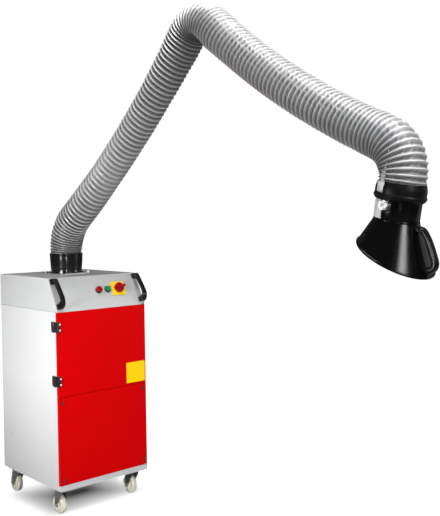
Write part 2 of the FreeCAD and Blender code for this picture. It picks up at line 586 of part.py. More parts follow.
strap_l = sector(83.0, 80.0, -116.0, 128.0, STRAP_MID, STRAP_HALF).fuse(
    sector(83.0, 80.0, 1.0, 128.0, PLATE_MID, PLATE_HALF))
strap_r = sector(83.0, 80.0, -116.0, 128.0, 180.0 - STRAP_MID, STRAP_HALF).fuse(
    sector(83.0, 80.0, 1.0, 128.0, 180.0 - PLATE_MID, PLATE_HALF))
wp = V(0, WRIST[0], WRIST[1])
wf = (wp - NECK).dot(FW)
print("wrist is", (wp - NECK).dot(A), "along and", wf, "forward of the neck start")
wx = math.sqrt(81.5 ** 2 - wf ** 2)
strap = strap_l.fuse(strap_r).fuse(cyl(6.95, 2 * wx, wp - EX * wx, EX)).removeSplitter()
save("hood_strap", strap)

# rubber cuff over the neck and the hose end, notched where the straps pass
hc = tube(90.5, 80.0, 52, nk(0.0), A).fuse(tube(93.0, 80.0, 10, nk(42.0), A)).removeSplitter()
hc = hc.cut(tube(84.0, 79.0, 8, nk(-1.0), A))
for mid in (PLATE_MID, 180.0 - PLATE_MID):
    hc = hc.cut(sector(95.0, 79.0, -1.0, 42.0, mid, PLATE_HALF + 0.8))
    hc = hc.cut(sector(83.4, 79.0, 40.0, 54.0, mid, PLATE_HALF + 0.8))
save("hood_cuff", hc)

# cone from the neck to the slanting mouth, with a rolled rim
ma = math.radians(MOUTH_TILT)
MN = V(0, math.sin(ma), -math.cos(ma))
MC = V(0, MOUTH_C[0], MOUTH_C[1])


def ring_wire(c, nrm, r_):
    # every wire starts on the -X side, so that lofts stay untwisted
    q = FreeCAD.Vector(-1, 0, 0)
    circ = Part.Circle()
    circ.Center, circ.Radius = c, r_
    circ.Axis = nrm
    return Part.Wire([circ.toShape()])


def loft_ring(n_, c, nrm, r_):
    """Closed polygon on a circle, with the first corner on the -X side."""
    e1 = V(-1, 0, 0)
    e2 = nrm.cross(e1)
    pts = [c + e1 * (r_ * math.cos(2 * math.pi * k / n_)) + e2 * (r_ * math.sin(2 * math.pi * k / n_))
           for k in range(n_)]
    return pts


def cone_solid(c0, n0, r0, c1, n1, r1, n_=48):
    a, b = loft_ring(n_, c0, n0, r0), loft_ring(n_, c1, n1, r1)
    faces = [face_of(a), face_of(b)]
    for k in range(n_):
        m = (k + 1) % n_
        faces.append(face_of([a[k], a[m], b[m]]))
        faces.append(face_of([a[k], b[m], b[k]]))
    sh = Part.makeShell(faces)
    so = Part.makeSolid(sh)
    if so.Volume < 0:
        so.reverse()
    return so


SEAM = nk(NECK_L)
outer = cone_solid(SEAM, A, 82.5, MC, MN, MOUTH_R - 3)
outer = outer.fuse(cyl(82.5, 6, nk(NECK_L - 6), A))
inner = cone_solid(SEAM - A * 0.5, A, 79.2, MC + MN * 3, MN, MOUTH_R - 5)
cone = outer.cut(inner).cut(cyl(80.0, 29.7, nk(NECK_L - 30), A))
rim = Part.makeTorus(MOUTH_R - 5.0, 5.0, MC, MN)
cone = cone.fuse(rim).removeSplitter()
save("hood_cone", cone)

# handle: closed loop on the front of the cone, in the plane X = 0
loop_o = [(-2258, 1507), (-2278, 1503.5), (-2294, 1499), (-2308, 1484), (-2322, 1459), (-2338, 1428),
          (-2347.5, 1401), (-2351.5, 1375), (-2347, 1357), (-2336, 1345), (-2316, 1332)]
loop_i = [(-2312, 1360), (-2327, 1365), (-2335, 1375), (-2333, 1390), (-2325, 1413), (-2312, 1449), (-2304, 1468),
          (-2297, 1475), (-2276, 1477)]
hnd = prism_yz(loop_o + [(-2306, 1336), (-2290, 1400), (-2262, 1500)], -14, 14)
hole = prism_yz(loop_i + [(-2266, 1477), (-2288, 1415), (-2302, 1362)], -20, 20)
hnd = hnd.cut(hole)
hnd = hnd.cut(cone_solid(SEAM, A, 82.56, MC, MN, MOUTH_R - 2.94)).cut(cyl(82.56, 6, nk(NECK_L - 6), A))
hnd = hnd.cut(Part.makeTorus(MOUTH_R - 5.0, 5.06, MC, MN))
hs = sorted(hnd.Solids, key=lambda s_: -s_.Volume)
save("hood_handle", hs[0])

# -------------------------------------------------------------------- damper
blade = cyl(73, 2.0, nk(KNOB_S) - FW * 1.0, FW)
blade = blade.fuse(cyl(5.0, 178, nk(KNOB_S, 0, -96), EX)).removeSplitter()
save("damper_blade", blade)
dk = cyl(17.5, 12, nk(KNOB_S, 0, -84.5), V(-1, 0, 0))
dk = fillet(dk, 2.0, lambda e: isinstance(e.Curve, Part.Circle) and abs(e.Vertexes[0].X + 96.5) < 0.1)
dk = dk.cut(cyl(5.05, 14, nk(KNOB_S, 0, -83.5), V(-1, 0, 0)))
save("damper_knob", dk)
print("files", len(os.listdir("parts")))
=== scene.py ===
import math

import bmesh
import bpy
import numpy as np
from mathutils import Matrix, Vector


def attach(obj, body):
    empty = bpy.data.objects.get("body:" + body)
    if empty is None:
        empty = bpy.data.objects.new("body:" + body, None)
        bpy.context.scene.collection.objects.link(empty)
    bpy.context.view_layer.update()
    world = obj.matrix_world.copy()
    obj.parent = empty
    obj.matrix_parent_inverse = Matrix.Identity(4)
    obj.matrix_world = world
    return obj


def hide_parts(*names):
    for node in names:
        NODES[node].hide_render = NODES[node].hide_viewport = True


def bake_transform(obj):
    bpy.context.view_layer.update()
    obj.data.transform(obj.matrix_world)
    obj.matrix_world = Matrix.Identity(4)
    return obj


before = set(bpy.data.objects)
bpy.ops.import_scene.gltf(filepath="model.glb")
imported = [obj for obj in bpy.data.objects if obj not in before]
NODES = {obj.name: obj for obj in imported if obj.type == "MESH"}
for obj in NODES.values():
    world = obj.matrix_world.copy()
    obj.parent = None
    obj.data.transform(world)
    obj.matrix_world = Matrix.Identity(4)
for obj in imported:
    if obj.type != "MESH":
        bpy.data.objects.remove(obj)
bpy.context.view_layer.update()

scene = bpy.context.scene
scene.view_settings.view_transform = "Standard"
scene.view_settings.look = "None"
scene.view_settings.exposure = 0.0
scene.view_settings.gamma = 1.0

# ------------------------------------------------------------- measurements (m)
DUCT_Y = 0.052
SLOPE = math.atan2(0.090, 0.171)
SL_N = Vector((0, -math.cos(SLOPE), math.sin(SLOPE)))
SL_U = Vector((0, math.sin(SLOPE), math.cos(SLOPE)))


def on_panel(x, s, h=0.0):
    return Vector((x, -0.312, 1.070)) + SL_U * s + SL_N * h


NECK_TILT = math.radians(11.0)
NA = Vector((0, math.sin(NECK_TILT), -math.cos(NECK_TILT)))
NF = Vector((0, -math.cos(NECK_TILT), -math.sin(NECK_TILT)))
NECK = Vector((0, -2.2126, 1.6549))
NECK_L = 0.135


def nk(s, f=0.0, x=0.0):
    return NECK + NA * s + NF * f + Vector((x, 0, 0))


# -------------------------------------------------------------------- camera
YAW, PITCH, ROLL = -0.73168, 0.028655, -0.01427
CAM_AT = Vector((-2.31926, -3.83235, 1.53891))
F_PX, PP_X, PP_Y = 784.689, 219.611, 240.943
IMG_W, IMG_H = 440, 516

fwd = Vector((-math.sin(YAW) * math.cos(PITCH), math.cos(YAW) * math.cos(PITCH), -math.sin(PITCH)))
right = Vector((math.cos(YAW), math.sin(YAW), 0))
up = right.cross(fwd)
r2 = right * math.cos(ROLL) + up * math.sin(ROLL)
u2 = up * math.cos(ROLL) - right * math.sin(ROLL)
cam_data = bpy.data.cameras.new("camera")
cam = bpy.data.objects.new("camera", cam_data)
scene.collection.objects.link(cam)
cam.matrix_world = Matrix(((r2.x, u2.x, -fwd.x, CAM_AT.x), (r2.y, u2.y, -fwd.y, CAM_AT.y),
                           (r2.z, u2.z, -fwd.z, CAM_AT.z), (0, 0, 0, 1)))
cam_data.sensor_fit = "AUTO"
cam_data.sensor_width = 36.0
cam_data.lens = F_PX / IMG_H * 36.0
cam_data.shift_x = -(PP_X - IMG_W / 2) / IMG_H
cam_data.shift_y = (PP_Y - IMG_H / 2) / IMG_H
cam_data.clip_start, cam_data.clip_end = 0.05, 100.0
scene.camera = cam


# ----------------------------------------------------------------- materials
def mat_new(name):
    m = bpy.data.materials.new(name)
    m.use_nodes = True
    nt = m.node_tree
    nt.nodes.clear()
    out = nt.nodes.new("ShaderNodeOutputMaterial")
    b = nt.nodes.new("ShaderNodeBsdfPrincipled")
    nt.links.new(b.outputs[0], out.inputs[0])
    return m, nt, b


def node(nt, kind, **values):
    n = nt.nodes.new(kind)
    for k, v in values.items():
        if k in n.inputs:
            n.inputs[k].default_value = v
        else:
            setattr(n, k, v)
    return n


def noise(nt, coord, scale, detail=3.0, rough=0.55, distortion=0.0):
    n = nt.nodes.new("ShaderNodeTexNoise")
    n.inputs["Scale"].default_value = scale
    n.inputs["Detail"].default_value = detail
    n.inputs["Roughness"].default_value = rough
    n.inputs["Distortion"].default_value = distortion
    nt.links.new(coord, n.inputs["Vector"])
    return n


def ramp(nt, fac, stops):
    r = nt.nodes.new("ShaderNodeValToRGB")
    el = r.color_ramp.elements
    el[0].position, el[0].color = stops[0][0], (*stops[0][1], 1)
    el[1].position, el[1].color = stops[-1][0], (*stops[-1][1], 1)
    for p, c in stops[1:-1]:
        e = el.new(p)
        e.color = (*c, 1)
    nt.links.new(fac, r.inputs["Fac"])
    return r


def map_range(nt, value, lo, hi):
    n = nt.nodes.new("ShaderNodeMapRange")
    n.inputs["From Min"].default_value = 0.25
    n.inputs["From Max"].default_value = 0.75
    n.inputs["To Min"].default_value = lo
    n.inputs["To Max"].default_value = hi
    nt.links.new(value, n.inputs["Value"])
    return n


def scaled(c, k):
    return tuple(min(1.0, v * k) for v in c)


def surface(name, color, rough, metallic=0.0, spread=0.04, rough_spread=0.06, peel=0.0, peel_scale=700.0,
            blotch=3.0, stretch=None, edge_highlight=0.0, edge_highlight_color=None, edge_r=0.0015, coat=0.0, coat_rough=0.08,
            spec=0.5, dirt=0.0, dirt_color=(0.12, 0.11, 0.10), speckle=0.0, upward_painted_shade=None, foot=None):
    """Painted, plated or moulded surface: large soft colour drift, fine grain, uneven gloss, dust, a painted highlight
    along the edges and, where asked, a tone darker towards the bottom and painted shade on the faces that look upward.
    """
    m, nt, b = mat_new(name)
    tc = nt.nodes.new("ShaderNodeTexCoord")
    coord = tc.outputs["Object"]
    if stretch is not None:
        mp = nt.nodes.new("ShaderNodeMapping")
        mp.inputs["Scale"].default_value = stretch
        nt.links.new(coord, mp.inputs["Vector"])
        fine_coord = mp.outputs["Vector"]
    else:
        fine_coord = coord
    big = noise(nt, coord, blotch, 3.0)
    fine = noise(nt, fine_coord, 220.0, 4.0, 0.6)
    mixed = nt.nodes.new("ShaderNodeMath")
    mixed.operation = "MULTIPLY_ADD"
    mixed.inputs[1].default_value = 0.35
    nt.links.new(fine.outputs["Fac"], mixed.inputs[0])
    half = nt.nodes.new("ShaderNodeMath")
    half.operation = "MULTIPLY"
    half.inputs[1].default_value = 0.65
    nt.links.new(big.outputs["Fac"], half.inputs[0])
    nt.links.new(half.outputs[0], mixed.inputs[2])
    col = ramp(nt, mixed.outputs[0], [(0.28, scaled(color, 1 - spread)), (0.5, color), (0.72, scaled(color, 1 + spread))])
    last = col.outputs["Color"]
    if speckle > 0:
        sp = noise(nt, coord, 1400.0, 1.0, 0.5)
        lim = ramp(nt, sp.outputs["Fac"], [(0.62, (0, 0, 0)), (0.74, (speckle,) * 3)])
        mx = node(nt, "ShaderNodeMix", data_type="RGBA")
        nt.links.new(lim.outputs["Color"], mx.inputs[0])
        nt.links.new(last, mx.inputs[6])
        mx.inputs[7].default_value = (*scaled(color, 0.6), 1)
        last = mx.outputs[2]
    if dirt > 0:
        dn = noise(nt, coord, 9.0, 6.0, 0.7)
        lim = ramp(nt, dn.outputs["Fac"], [(0.52, (0, 0, 0)), (0.85, (dirt,) * 3)])
        mx = node(nt, "ShaderNodeMix", data_type="RGBA")
        nt.links.new(lim.outputs["Color"], mx.inputs[0])
        nt.links.new(last, mx.inputs[6])
        mx.inputs[7].default_value = (*dirt_color, 1)
        last = mx.outputs[2]
    # painted highlight: the colour turns lighter along the rounded edges
    if edge_highlight > 0:
        bev = node(nt, "ShaderNodeBevel", samples=4)
        bev.inputs["Radius"].default_value = edge_r
        geo = nt.nodes.new("ShaderNodeNewGeometry")
        dot = node(nt, "ShaderNodeVectorMath", operation="DOT_PRODUCT")
        nt.links.new(bev.outputs[0], dot.inputs[0])
        nt.links.new(geo.outputs["Normal"], dot.inputs[1])
        lim = ramp(nt, dot.outputs["Value"], [(0.80, (edge_highlight,) * 3), (0.985, (0, 0, 0))])
        mx = node(nt, "ShaderNodeMix", data_type="RGBA")
        nt.links.new(lim.outputs["Color"], mx.inputs[0])
        nt.links.new(last, mx.inputs[6])
        mx.inputs[7].default_value = (*(edge_highlight_color or scaled(color, 1.5)), 1)
        last = mx.outputs[2]
    if foot is not None:
        # the sheet's colour is made darker towards its bottom
        rise = nt.nodes.new("ShaderNodeSeparateXYZ")
        nt.links.new(coord, rise.inputs[0])
        level = node(nt, "ShaderNodeMapRange")
        level.inputs["From Min"].default_value = 0.15
        level.inputs["From Max"].default_value = 0.70
        nt.links.new(rise.outputs["Z"], level.inputs["Value"])
        tone = ramp(nt, level.outputs[0], [(0.0, (foot,) * 3), (0.45, ((1 + foot) / 2,) * 3), (1.0, (1, 1, 1))])
        mul = node(nt, "ShaderNodeMix", data_type="RGBA", blend_type="MULTIPLY")
        mul.inputs[0].default_value = 1.0
        nt.links.new(last, mul.inputs[6])
        nt.links.new(tone.outputs["Color"], mul.inputs[7])
        last = mul.outputs[2]
    if upward_painted_shade is not None:
        # painted shade on the faces that look upward, darker toward the top, standing for the dim surround those faces
        # reflect
        low, high = upward_painted_shade
        up = nt.nodes.new("ShaderNodeSeparateXYZ")
        nt.links.new(tc.outputs["Normal"], up.inputs[0])
        rise = nt.nodes.new("ShaderNodeSeparateXYZ")
        nt.links.new(coord, rise.inputs[0])
        mask = ramp(nt, up.outputs["Z"], [(0.15, (0, 0, 0)), (0.40, (1, 1, 1))])
        level = node(nt, "ShaderNodeMapRange")
        level.inputs["From Min"].default_value = 1.08
        level.inputs["From Max"].default_value = 1.24
        nt.links.new(rise.outputs["Z"], level.inputs["Value"])
        tone = ramp(nt, level.outputs[0], [(0.0, (low,) * 3), (0.55, ((low * 2 + high) / 3,) * 3), (1.0, (high,) * 3)])
        mul = node(nt, "ShaderNodeMix", data_type="RGBA", blend_type="MULTIPLY")
        nt.links.new(mask.outputs["Color"], mul.inputs[0])
        nt.links.new(last, mul.inputs[6])
        nt.links.new(tone.outputs["Color"], mul.inputs[7])
        last = mul.outputs[2]
    nt.links.new(last, b.inputs["Base Color"])
    rn = noise(nt, fine_coord, 26.0, 5.0, 0.65)
    rr = map_range(nt, rn.outputs["Fac"], max(0.02, rough - rough_spread), min(1.0, rough + rough_spread))
    nt.links.new(rr.outputs[0], b.inputs["Roughness"])
    b.inputs["Metallic"].default_value = metallic
    b.inputs["Specular IOR Level"].default_value = spec
    if coat > 0:
        b.inputs["Coat Weight"].default_value = coat
        b.inputs["Coat Roughness"].default_value = coat_rough
    bump = nt.nodes.new("ShaderNodeBump")
    bump.inputs["Strength"].default_value = max(peel, 0.02)
    bump.inputs["Distance"].default_value = 0.0004
    grain = noise(nt, fine_coord, peel_scale, 2.0, 0.5)
    nt.links.new(grain.outputs["Fac"], bump.inputs["Height"])
    nt.links.new(bump.outputs["Normal"], b.inputs["Normal"])
    return m


def hose_material():
    """Coated glass fabric over a wire helix: fine weave, crinkles, painted shade in the creases and a painted highlight
    on the ridges.
    """
    m, nt, b = mat_new("hose_cloth")
    uv = node(nt, "ShaderNodeUVMap", uv_map="hose_uv")
    at = node(nt, "ShaderNodeAttribute", attribute_name="painted_crease_shade")
    tc = nt.nodes.new("ShaderNodeTexCoord")
    big = noise(nt, uv.outputs["UV"], 5.0, 4.0, 0.6)
    col = ramp(nt, big.outputs["Fac"], [(0.3, (0.74, 0.743, 0.75)), (0.7, (0.84, 0.843, 0.85))])
    dark = node(nt, "ShaderNodeMix", data_type="RGBA", blend_type="MULTIPLY")
    # painted shade darkens the creases and a painted highlight lightens the ridges
    shade = ramp(nt, at.outputs["Fac"], [(0.0, (1.15, 1.15, 1.15)), (0.22, (0.90, 0.90, 0.90)), (0.6, (0.50, 0.50, 0.505)),
                                         (1.0, (0.17, 0.17, 0.175))])
    dark.inputs[0].default_value = 1.0
    nt.links.new(col.outputs["Color"], dark.inputs[6])
    nt.links.new(shade.outputs["Color"], dark.inputs[7])
    # the length near the cabinet is sooty, the far lengths are cleaner
    ux = nt.nodes.new("ShaderNodeSeparateXYZ")
    nt.links.new(uv.outputs["UV"], ux.inputs[0])
    reach = map_range(nt, ux.outputs["X"], 0.0, 1.0)
    reach.inputs["From Min"].default_value = 0.0
    reach.inputs["From Max"].default_value = 3.0
    clean = ramp(nt, reach.outputs[0], [(0.0, (0.68, 0.68, 0.68)), (0.14, (0.68, 0.68, 0.68)), (0.28, (0.93, 0.93, 0.93)),
                                        (0.46, (1.0, 1.0, 1.0)), (0.60, (1.0, 1.0, 1.0)), (1.0, (1.0, 1.0, 1.0))])
    aged = node(nt, "ShaderNodeMix", data_type="RGBA", blend_type="MULTIPLY")
    aged.inputs[0].default_value = 1.0
    nt.links.new(dark.outputs[2], aged.inputs[6])
    nt.links.new(clean.outputs["Color"], aged.inputs[7])
    specks = noise(nt, uv.outputs["UV"], 420.0, 3.0, 0.7)
    lim = ramp(nt, specks.outputs["Fac"], [(0.35, (0.90, 0.90, 0.90)), (0.65, (1.06, 1.06, 1.06))])
    mul = node(nt, "ShaderNodeMix", data_type="RGBA", blend_type="MULTIPLY")
    mul.inputs[0].default_value = 1.0
    nt.links.new(aged.outputs[2], mul.inputs[6])
    nt.links.new(lim.outputs["Color"], mul.inputs[7])
    nt.links.new(mul.outputs[2], b.inputs["Base Color"])
    rn = noise(nt, uv.outputs["UV"], 60.0, 4.0, 0.6)
    rr = map_range(nt, rn.outputs["Fac"], 0.30, 0.46)
    nt.links.new(rr.outputs[0], b.inputs["Roughness"])
    b.inputs["Metallic"].default_value = 0.25
    b.inputs["Specular IOR Level"].default_value = 0.6
    # weave: two crossed wave patterns, about 1.3 mm a thread, and crinkles a few millimetres long
    w1 = node(nt, "ShaderNodeTexWave", wave_type="BANDS", bands_direction="X")
    w2 = node(nt, "ShaderNodeTexWave", wave_type="BANDS", bands_direction="Y")
    for w in (w1, w2):
        w.inputs["Scale"].default_value = 240.0
        w.inputs["Distortion"].default_value = 0.6
        nt.links.new(uv.outputs["UV"], w.inputs["Vector"])
    add = node(nt, "ShaderNodeMath", operation="ADD")
    nt.links.new(w1.outputs["Fac"], add.inputs[0])
    nt.links.new(w2.outputs["Fac"], add.inputs[1])
    bump1 = nt.nodes.new("ShaderNodeBump")
    bump1.inputs["Strength"].default_value = 0.15
    bump1.inputs["Distance"].default_value = 0.0003
    nt.links.new(add.outputs[0], bump1.inputs["Height"])
    crk = noise(nt, uv.outputs["UV"], 95.0, 3.0, 0.6, 0.8)
    bump2 = nt.nodes.new("ShaderNodeBump")
    bump2.inputs["Strength"].default_value = 0.22
    bump2.inputs["Distance"].default_value = 0.0016
    nt.links.new(crk.outputs["Fac"], bump2.inputs["Height"])
    nt.links.new(bump1.outputs["Normal"], bump2.inputs["Normal"])
    nt.links.new(bump2.outputs["Normal"], b.inputs["Normal"])
    return m


M = {
    # side, console, red, base and black paint carry a painted highlight along their edges
    "side": surface("paint_light_grey", (0.78, 0.783, 0.79), 0.38, spread=0.02, peel=0.10, peel_scale=520, edge_highlight=0.5,
                    edge_highlight_color=(0.9, 0.9, 0.9), dirt=0.03, spec=0.2, foot=0.76),
    # the console's upward faces carry painted shade, darker toward the top
    "console": surface("paint_silver_grey", (0.70, 0.705, 0.71), 0.36, metallic=0.10, spread=0.03, peel=0.08, peel_scale=520,
                       edge_highlight=0.4, edge_highlight_color=(0.8, 0.8, 0.8), dirt=0.03, spec=0.12, upward_painted_shade=(0.66, 0.54)),
    "red": surface("paint_red", (0.53, 0.0008, 0.0014), 0.34, spread=0.05, peel=0.06, peel_scale=480, edge_highlight=0.35,
                   edge_highlight_color=(0.80, 0.02, 0.03), spec=0.02),
    "base": surface("paint_base_grey", (0.50, 0.505, 0.51), 0.40, spread=0.04, peel=0.10, peel_scale=520, edge_highlight=0.5,
                    edge_highlight_color=(0.75, 0.75, 0.75), dirt=0.12),
    "galv": surface("galvanised", (0.55, 0.56, 0.57), 0.38, metallic=0.9, spread=0.10, rough_spread=0.12, blotch=40.0,
                    peel=0.05),
    "black_metal": surface("paint_black", (0.012, 0.012, 0.013), 0.32, spread=0.15, peel=0.06, edge_highlight=0.3,
                           edge_highlight_color=(0.10, 0.10, 0.10), spec=0.45),
    "hood": surface("hood_black_gloss", (0.0015, 0.0015, 0.0016), 0.20, spread=0.2, rough_spread=0.04, peel=0.02,
                    peel_scale=300, spec=0.24),
    "black_plastic": surface("plastic_black", (0.010, 0.010, 0.011), 0.30, spread=0.15, peel=0.08, peel_scale=900,
                             spec=0.45),
    "rubber": surface("rubber_black", (0.006, 0.006, 0.006), 0.36, spread=0.2, rough_spread=0.08, peel=0.10,
                      peel_scale=900, spec=0.14),
    "red_plastic": surface("plastic_red", (0.27, 0.002, 0.004), 0.24, spread=0.06, peel=0.05, spec=0.22),
    "green_plastic": surface("plastic_green", (0.008, 0.20, 0.075), 0.20, spread=0.08, peel=0.05, spec=0.3),
    "yellow": surface("plastic_yellow", (0.80, 0.53, 0.02), 0.38, spread=0.04, peel=0.05, spec=0.12),
    "knob": surface("knurled_aluminium", (0.80, 0.805, 0.81), 0.28, metallic=0.7, spread=0.08, peel=0.06, peel_scale=1500),
    "zinc": surface("bright_zinc", (0.68, 0.69, 0.70), 0.24, metallic=1.0, spread=0.06, peel=0.05, rough_spread=0.08),
    "fork": surface("zinc_pressing", (0.30, 0.31, 0.325), 0.32, metallic=0.95, spread=0.12, peel=0.06, dirt=0.30,
                    rough_spread=0.12),
    "nylon": surface("wheel_cream", (0.78, 0.745, 0.63), 0.38, spread=0.05, peel=0.08, dirt=0.22,
                     dirt_color=(0.30, 0.27, 0.22)),
    "alu": surface("mill_aluminium", (0.66, 0.67, 0.68), 0.32, metallic=1.0, spread=0.05, stretch=(1, 0.05, 1),
                   peel=0.10),
    "motor": surface("motor_grey", (0.13, 0.15, 0.17), 0.45, spread=0.08, peel=0.25, peel_scale=400, dirt=0.1),
    "steel": surface("turned_steel", (0.60, 0.61, 0.62), 0.22, metallic=1.0, spread=0.05, peel=0.05),
    "filter": surface("filter_fibre", (0.84, 0.83, 0.78), 0.85, spread=0.06, peel=0.6, peel_scale=500, spec=0.2),
    "label": surface("label_yellow", (0.84, 0.57, 0.0), 0.40, spread=0.03, peel=0.03, spec=0.15),
    "plastic_grey": surface("enclosure_grey", (0.45, 0.46, 0.47), 0.5, spread=0.05, peel=0.15, peel_scale=900),
    "hose": hose_material(),
    "duct": surface("duct_black_gloss", (0.008, 0.008, 0.0085), 0.16, spread=0.2, rough_spread=0.05, peel=0.05,
                    peel_scale=260, coat=0.2, coat_rough=0.06, spec=0.25),
    "grip": surface("grip_black", (0.006, 0.006, 0.0065), 0.18, spread=0.2, rough_spread=0.05, peel=0.04,
                    peel_scale=900, spec=0.35),
    "strap": surface("strap_brushed", (0.90, 0.90, 0.90), 0.45, metallic=0.25, spread=0.05, stretch=(1, 1, 0.06),
                     peel=0.12, peel_scale=900),
    "bolt": surface("bright_bolt", (0.86, 0.865, 0.87), 0.30, metallic=0.55, spread=0.05, peel=0.03),
    # dark grey that stands for the shadow in a seam: painted shade
    "gasket": surface("seam_shade_grey", (0.10, 0.10, 0.10), 0.7, spread=0.2, peel=0.2, spec=0.2),
    "mark_white": surface("mark_white", (0.80, 0.80, 0.80), 0.45, spread=0.03, peel=0.03, spec=0.2),
}

NODE_MAT = {
    "base_frame": "base", "side_panel_left": "side", "side_panel_right": "side", "rear_panel": "side",
    "console_cover": "console", "mid_deck": "galv", "chamber_roof": "galv", "lower_panel": "red",
    "panel_screws": "black_metal", "filter_door": "red", "door_seal": "rubber", "label_card": "label",
    "hinge_leaves": "black_metal", "door_hinge_arms": "black_metal", "filter_seal": "rubber",
    "filter_cassette": "alu", "filter_media": "filter", "spark_filter": "galv", "fan_housing": "galv",
    "impeller": "motor", "motor_shaft": "steel", "motor": "motor", "control_box": "plastic_grey",
    "cable_gland": "black_plastic", "console_handles": "black_plastic", "switch_plate": "yellow",
    "switch_knob": "red_plastic", "button_bezels": "black_plastic", "stop_button": "red_plastic",
    "start_button": "green_plastic", "caster_plates": "fork", "arm_flange": "galv", "flange_bolts": "zinc",
    "swivel_duct": "black_metal", "base_cuff": "rubber", "shoulder_bracket": "alu", "hose_base": "hose",
    "lower_link": "alu", "hose_lower": "hose", "hose_elbow": "hose", "shoulder_pin": "steel",
    "elbow_pin": "steel", "upper_link": "alu", "hose_upper": "hose", "hose_wrist": "hose", "hood_neck": "hood",
    "hood_strap": "strap", "hood_cuff": "rubber", "hood_cone": "hood", "hood_handle": "black_plastic",
    "damper_blade": "zinc", "damper_knob": "knob",
}
for t in ("fl", "fr", "rl", "rr"):
    NODE_MAT["caster_fork_" + t] = "fork"
    NODE_MAT["wheel_" + t] = "nylon"
for n, o in NODES.items():
    o.data.materials.clear()
    o.data.materials.append(M[NODE_MAT[n]])


# --------------------------------------------------------------- mesh helpers
def make(name, verts, faces, mat, body, smooth=True, replaces=(), slot=None, sharp=None):
    me = bpy.data.meshes.new(name)
    me.from_pydata([tuple(v) for v in verts], [], faces)
    me.validate()
    me.materials.append(M[mat] if isinstance(mat, str) else mat)
    o = bpy.data.objects.new(name, me)
    scene.collection.objects.link(o)
    if smooth:
        for p in me.polygons:
            p.use_smooth = True
    if sharp is not None:
        me.set_sharp_from_angle(angle=math.radians(sharp))
    if body:
        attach(o, body)
    if replaces:
        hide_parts(*replaces)
    return o


def frame_axes(d):
    d = Vector(d).normalized()
    a = Vector((1, 0, 0)) if abs(d.x) < 0.9 else Vector((0, 1, 0))
    e1 = (a - d * a.dot(d)).normalized()
    return d, e1, d.cross(e1)


def lathe(prof, origin, axis, segs=96, e1=None, radial=None, closed=False):
    """Verts and faces of a profile [(r, z)] turned about an axis. Ends with r == 0 close to a point."""
    d, q1, q2 = frame_axes(axis)
    if e1 is not None:
        q1 = Vector(e1).normalized()
        q2 = d.cross(q1)
    origin = Vector(origin)
    verts, rows = [], []
    for r, z in prof:
        if r < 1e-7:
            rows.append([len(verts)] * segs)
            verts.append(origin + d * z)
            continue
        row = []
        for k in range(segs):
            a = 2 * math.pi * k / segs
            rr = r if radial is None else radial(a, r, z)
            row.append(len(verts))
            verts.append(origin + d * z + (q1 * math.cos(a) + q2 * math.sin(a)) * rr)
        rows.append(row)
    faces = []
    pairs = list(zip(rows[:-1], rows[1:]))
    if closed:
        pairs.append((rows[-1], rows[0]))
    for a, b in pairs:
        for k in range(segs):
            m = (k + 1) % segs
            q = [a[k], a[m], b[m], b[k]]
            u = []
            for i in q:
                if i not in u:
                    u.append(i)
            if len(u) > 2:
                faces.append(u)
    return verts, faces


def sweep(path, section, ups, closed_path=False, caps=True):
    """Section points (a, b) carried along path points; a is along ups[i], b is across. Returns verts, faces."""
    n, k = len(path), len(section)
    verts, faces = [], []
    for i, p in enumerate(path):
        a = path[(i + 1) % n] if (closed_path or i < n - 1) else path[i]
        b = path[i - 1] if (closed_path or i > 0) else path[i]
        t = (a - b).normalized()
        u = (ups[i] - t * ups[i].dot(t)).normalized()
        w = t.cross(u)
        sec = section[i] if isinstance(section[0], list) else section
        for c in sec:
            verts.append(p + u * c[0] + w * c[1])
    k = len(section[0]) if isinstance(section[0], list) else len(section)
    for i in range(n if closed_path else n - 1):
        j = (i + 1) % n
        for c in range(k):
            e = (c + 1) % k
            faces.append([i * k + c, i * k + e, j * k + e, j * k + c])
    if caps and not closed_path:
        faces.append(list(range(k))[::-1])
        faces.append([(n - 1) * k + c for c in range(k)])
    return verts, faces


def superellipse(a, b, power=4.0, n=24):
    out = []
    for k in range(n):
        t = 2 * math.pi * (k + 0.5) / n
        c, s = math.cos(t), math.sin(t)
        out.append((a * math.copysign(abs(c) ** (2 / power), c), b * math.copysign(abs(s) ** (2 / power), s)))
    return out


def catmull(pts, per=8):
    out = []
    p = [pts[0] * 2 - pts[1]] + list(pts) + [pts[-1] * 2 - pts[-2]]
    for i in range(1, len(p) - 2):
        for k in range(per):
            t = k / per
            a, b, c, d = p[i - 1], p[i], p[i + 1], p[i + 2]
            out.append(0.5 * ((2 * b) + (c - a) * t + (2 * a - 5 * b + 4 * c - d) * t * t
                              + (3 * b - a - 3 * c + d) * t * t * t))
    out.append(pts[-1].copy())
    return out


def join(*parts):
    verts, faces = [], []
    for v, f in parts:
        o = len(verts)
        verts += list(v)
        faces += [[i + o for i in q] for q in f]
    return verts, faces


# ------------------------------------------------------------------- the hose
# Centre line: heading against length along the hose, in millimetres and degrees, all in the plane X = 0.
H_S = [0.0, 238.2, 1394.8, 1544.8, 1706.3, 1886.3, 2729.5, 2806.5, 2988.1, 3000.1]
H_A = [90.0, 33.13, 44.85, 44.85, -37.77, -37.77, -25.05, -25.05, -101.0, -101.0]
LEN = 3000
grid = np.arange(0, LEN + 1, 1.0)
raw = np.interp(grid, H_S, H_A)
SIG = 16.0
kx = np.arange(-60, 61)
kern = np.exp(-kx ** 2 / (2 * SIG ** 2))
kern /= kern.sum()
head = np.convolve(np.concatenate([np.full(60, raw[0]), raw, np.full(60, raw[-1])]), kern, "valid")
hr = np.radians(head)


def integrate(h):
    dy = -np.cos((h[1:] + h[:-1]) / 2)
    dz = np.sin((h[1:] + h[:-1]) / 2)
    return (np.concatenate([[52.0], 52.0 + np.cumsum(dy)]), np.concatenate([[1356.0], 1356.0 + np.cumsum(dz)]))


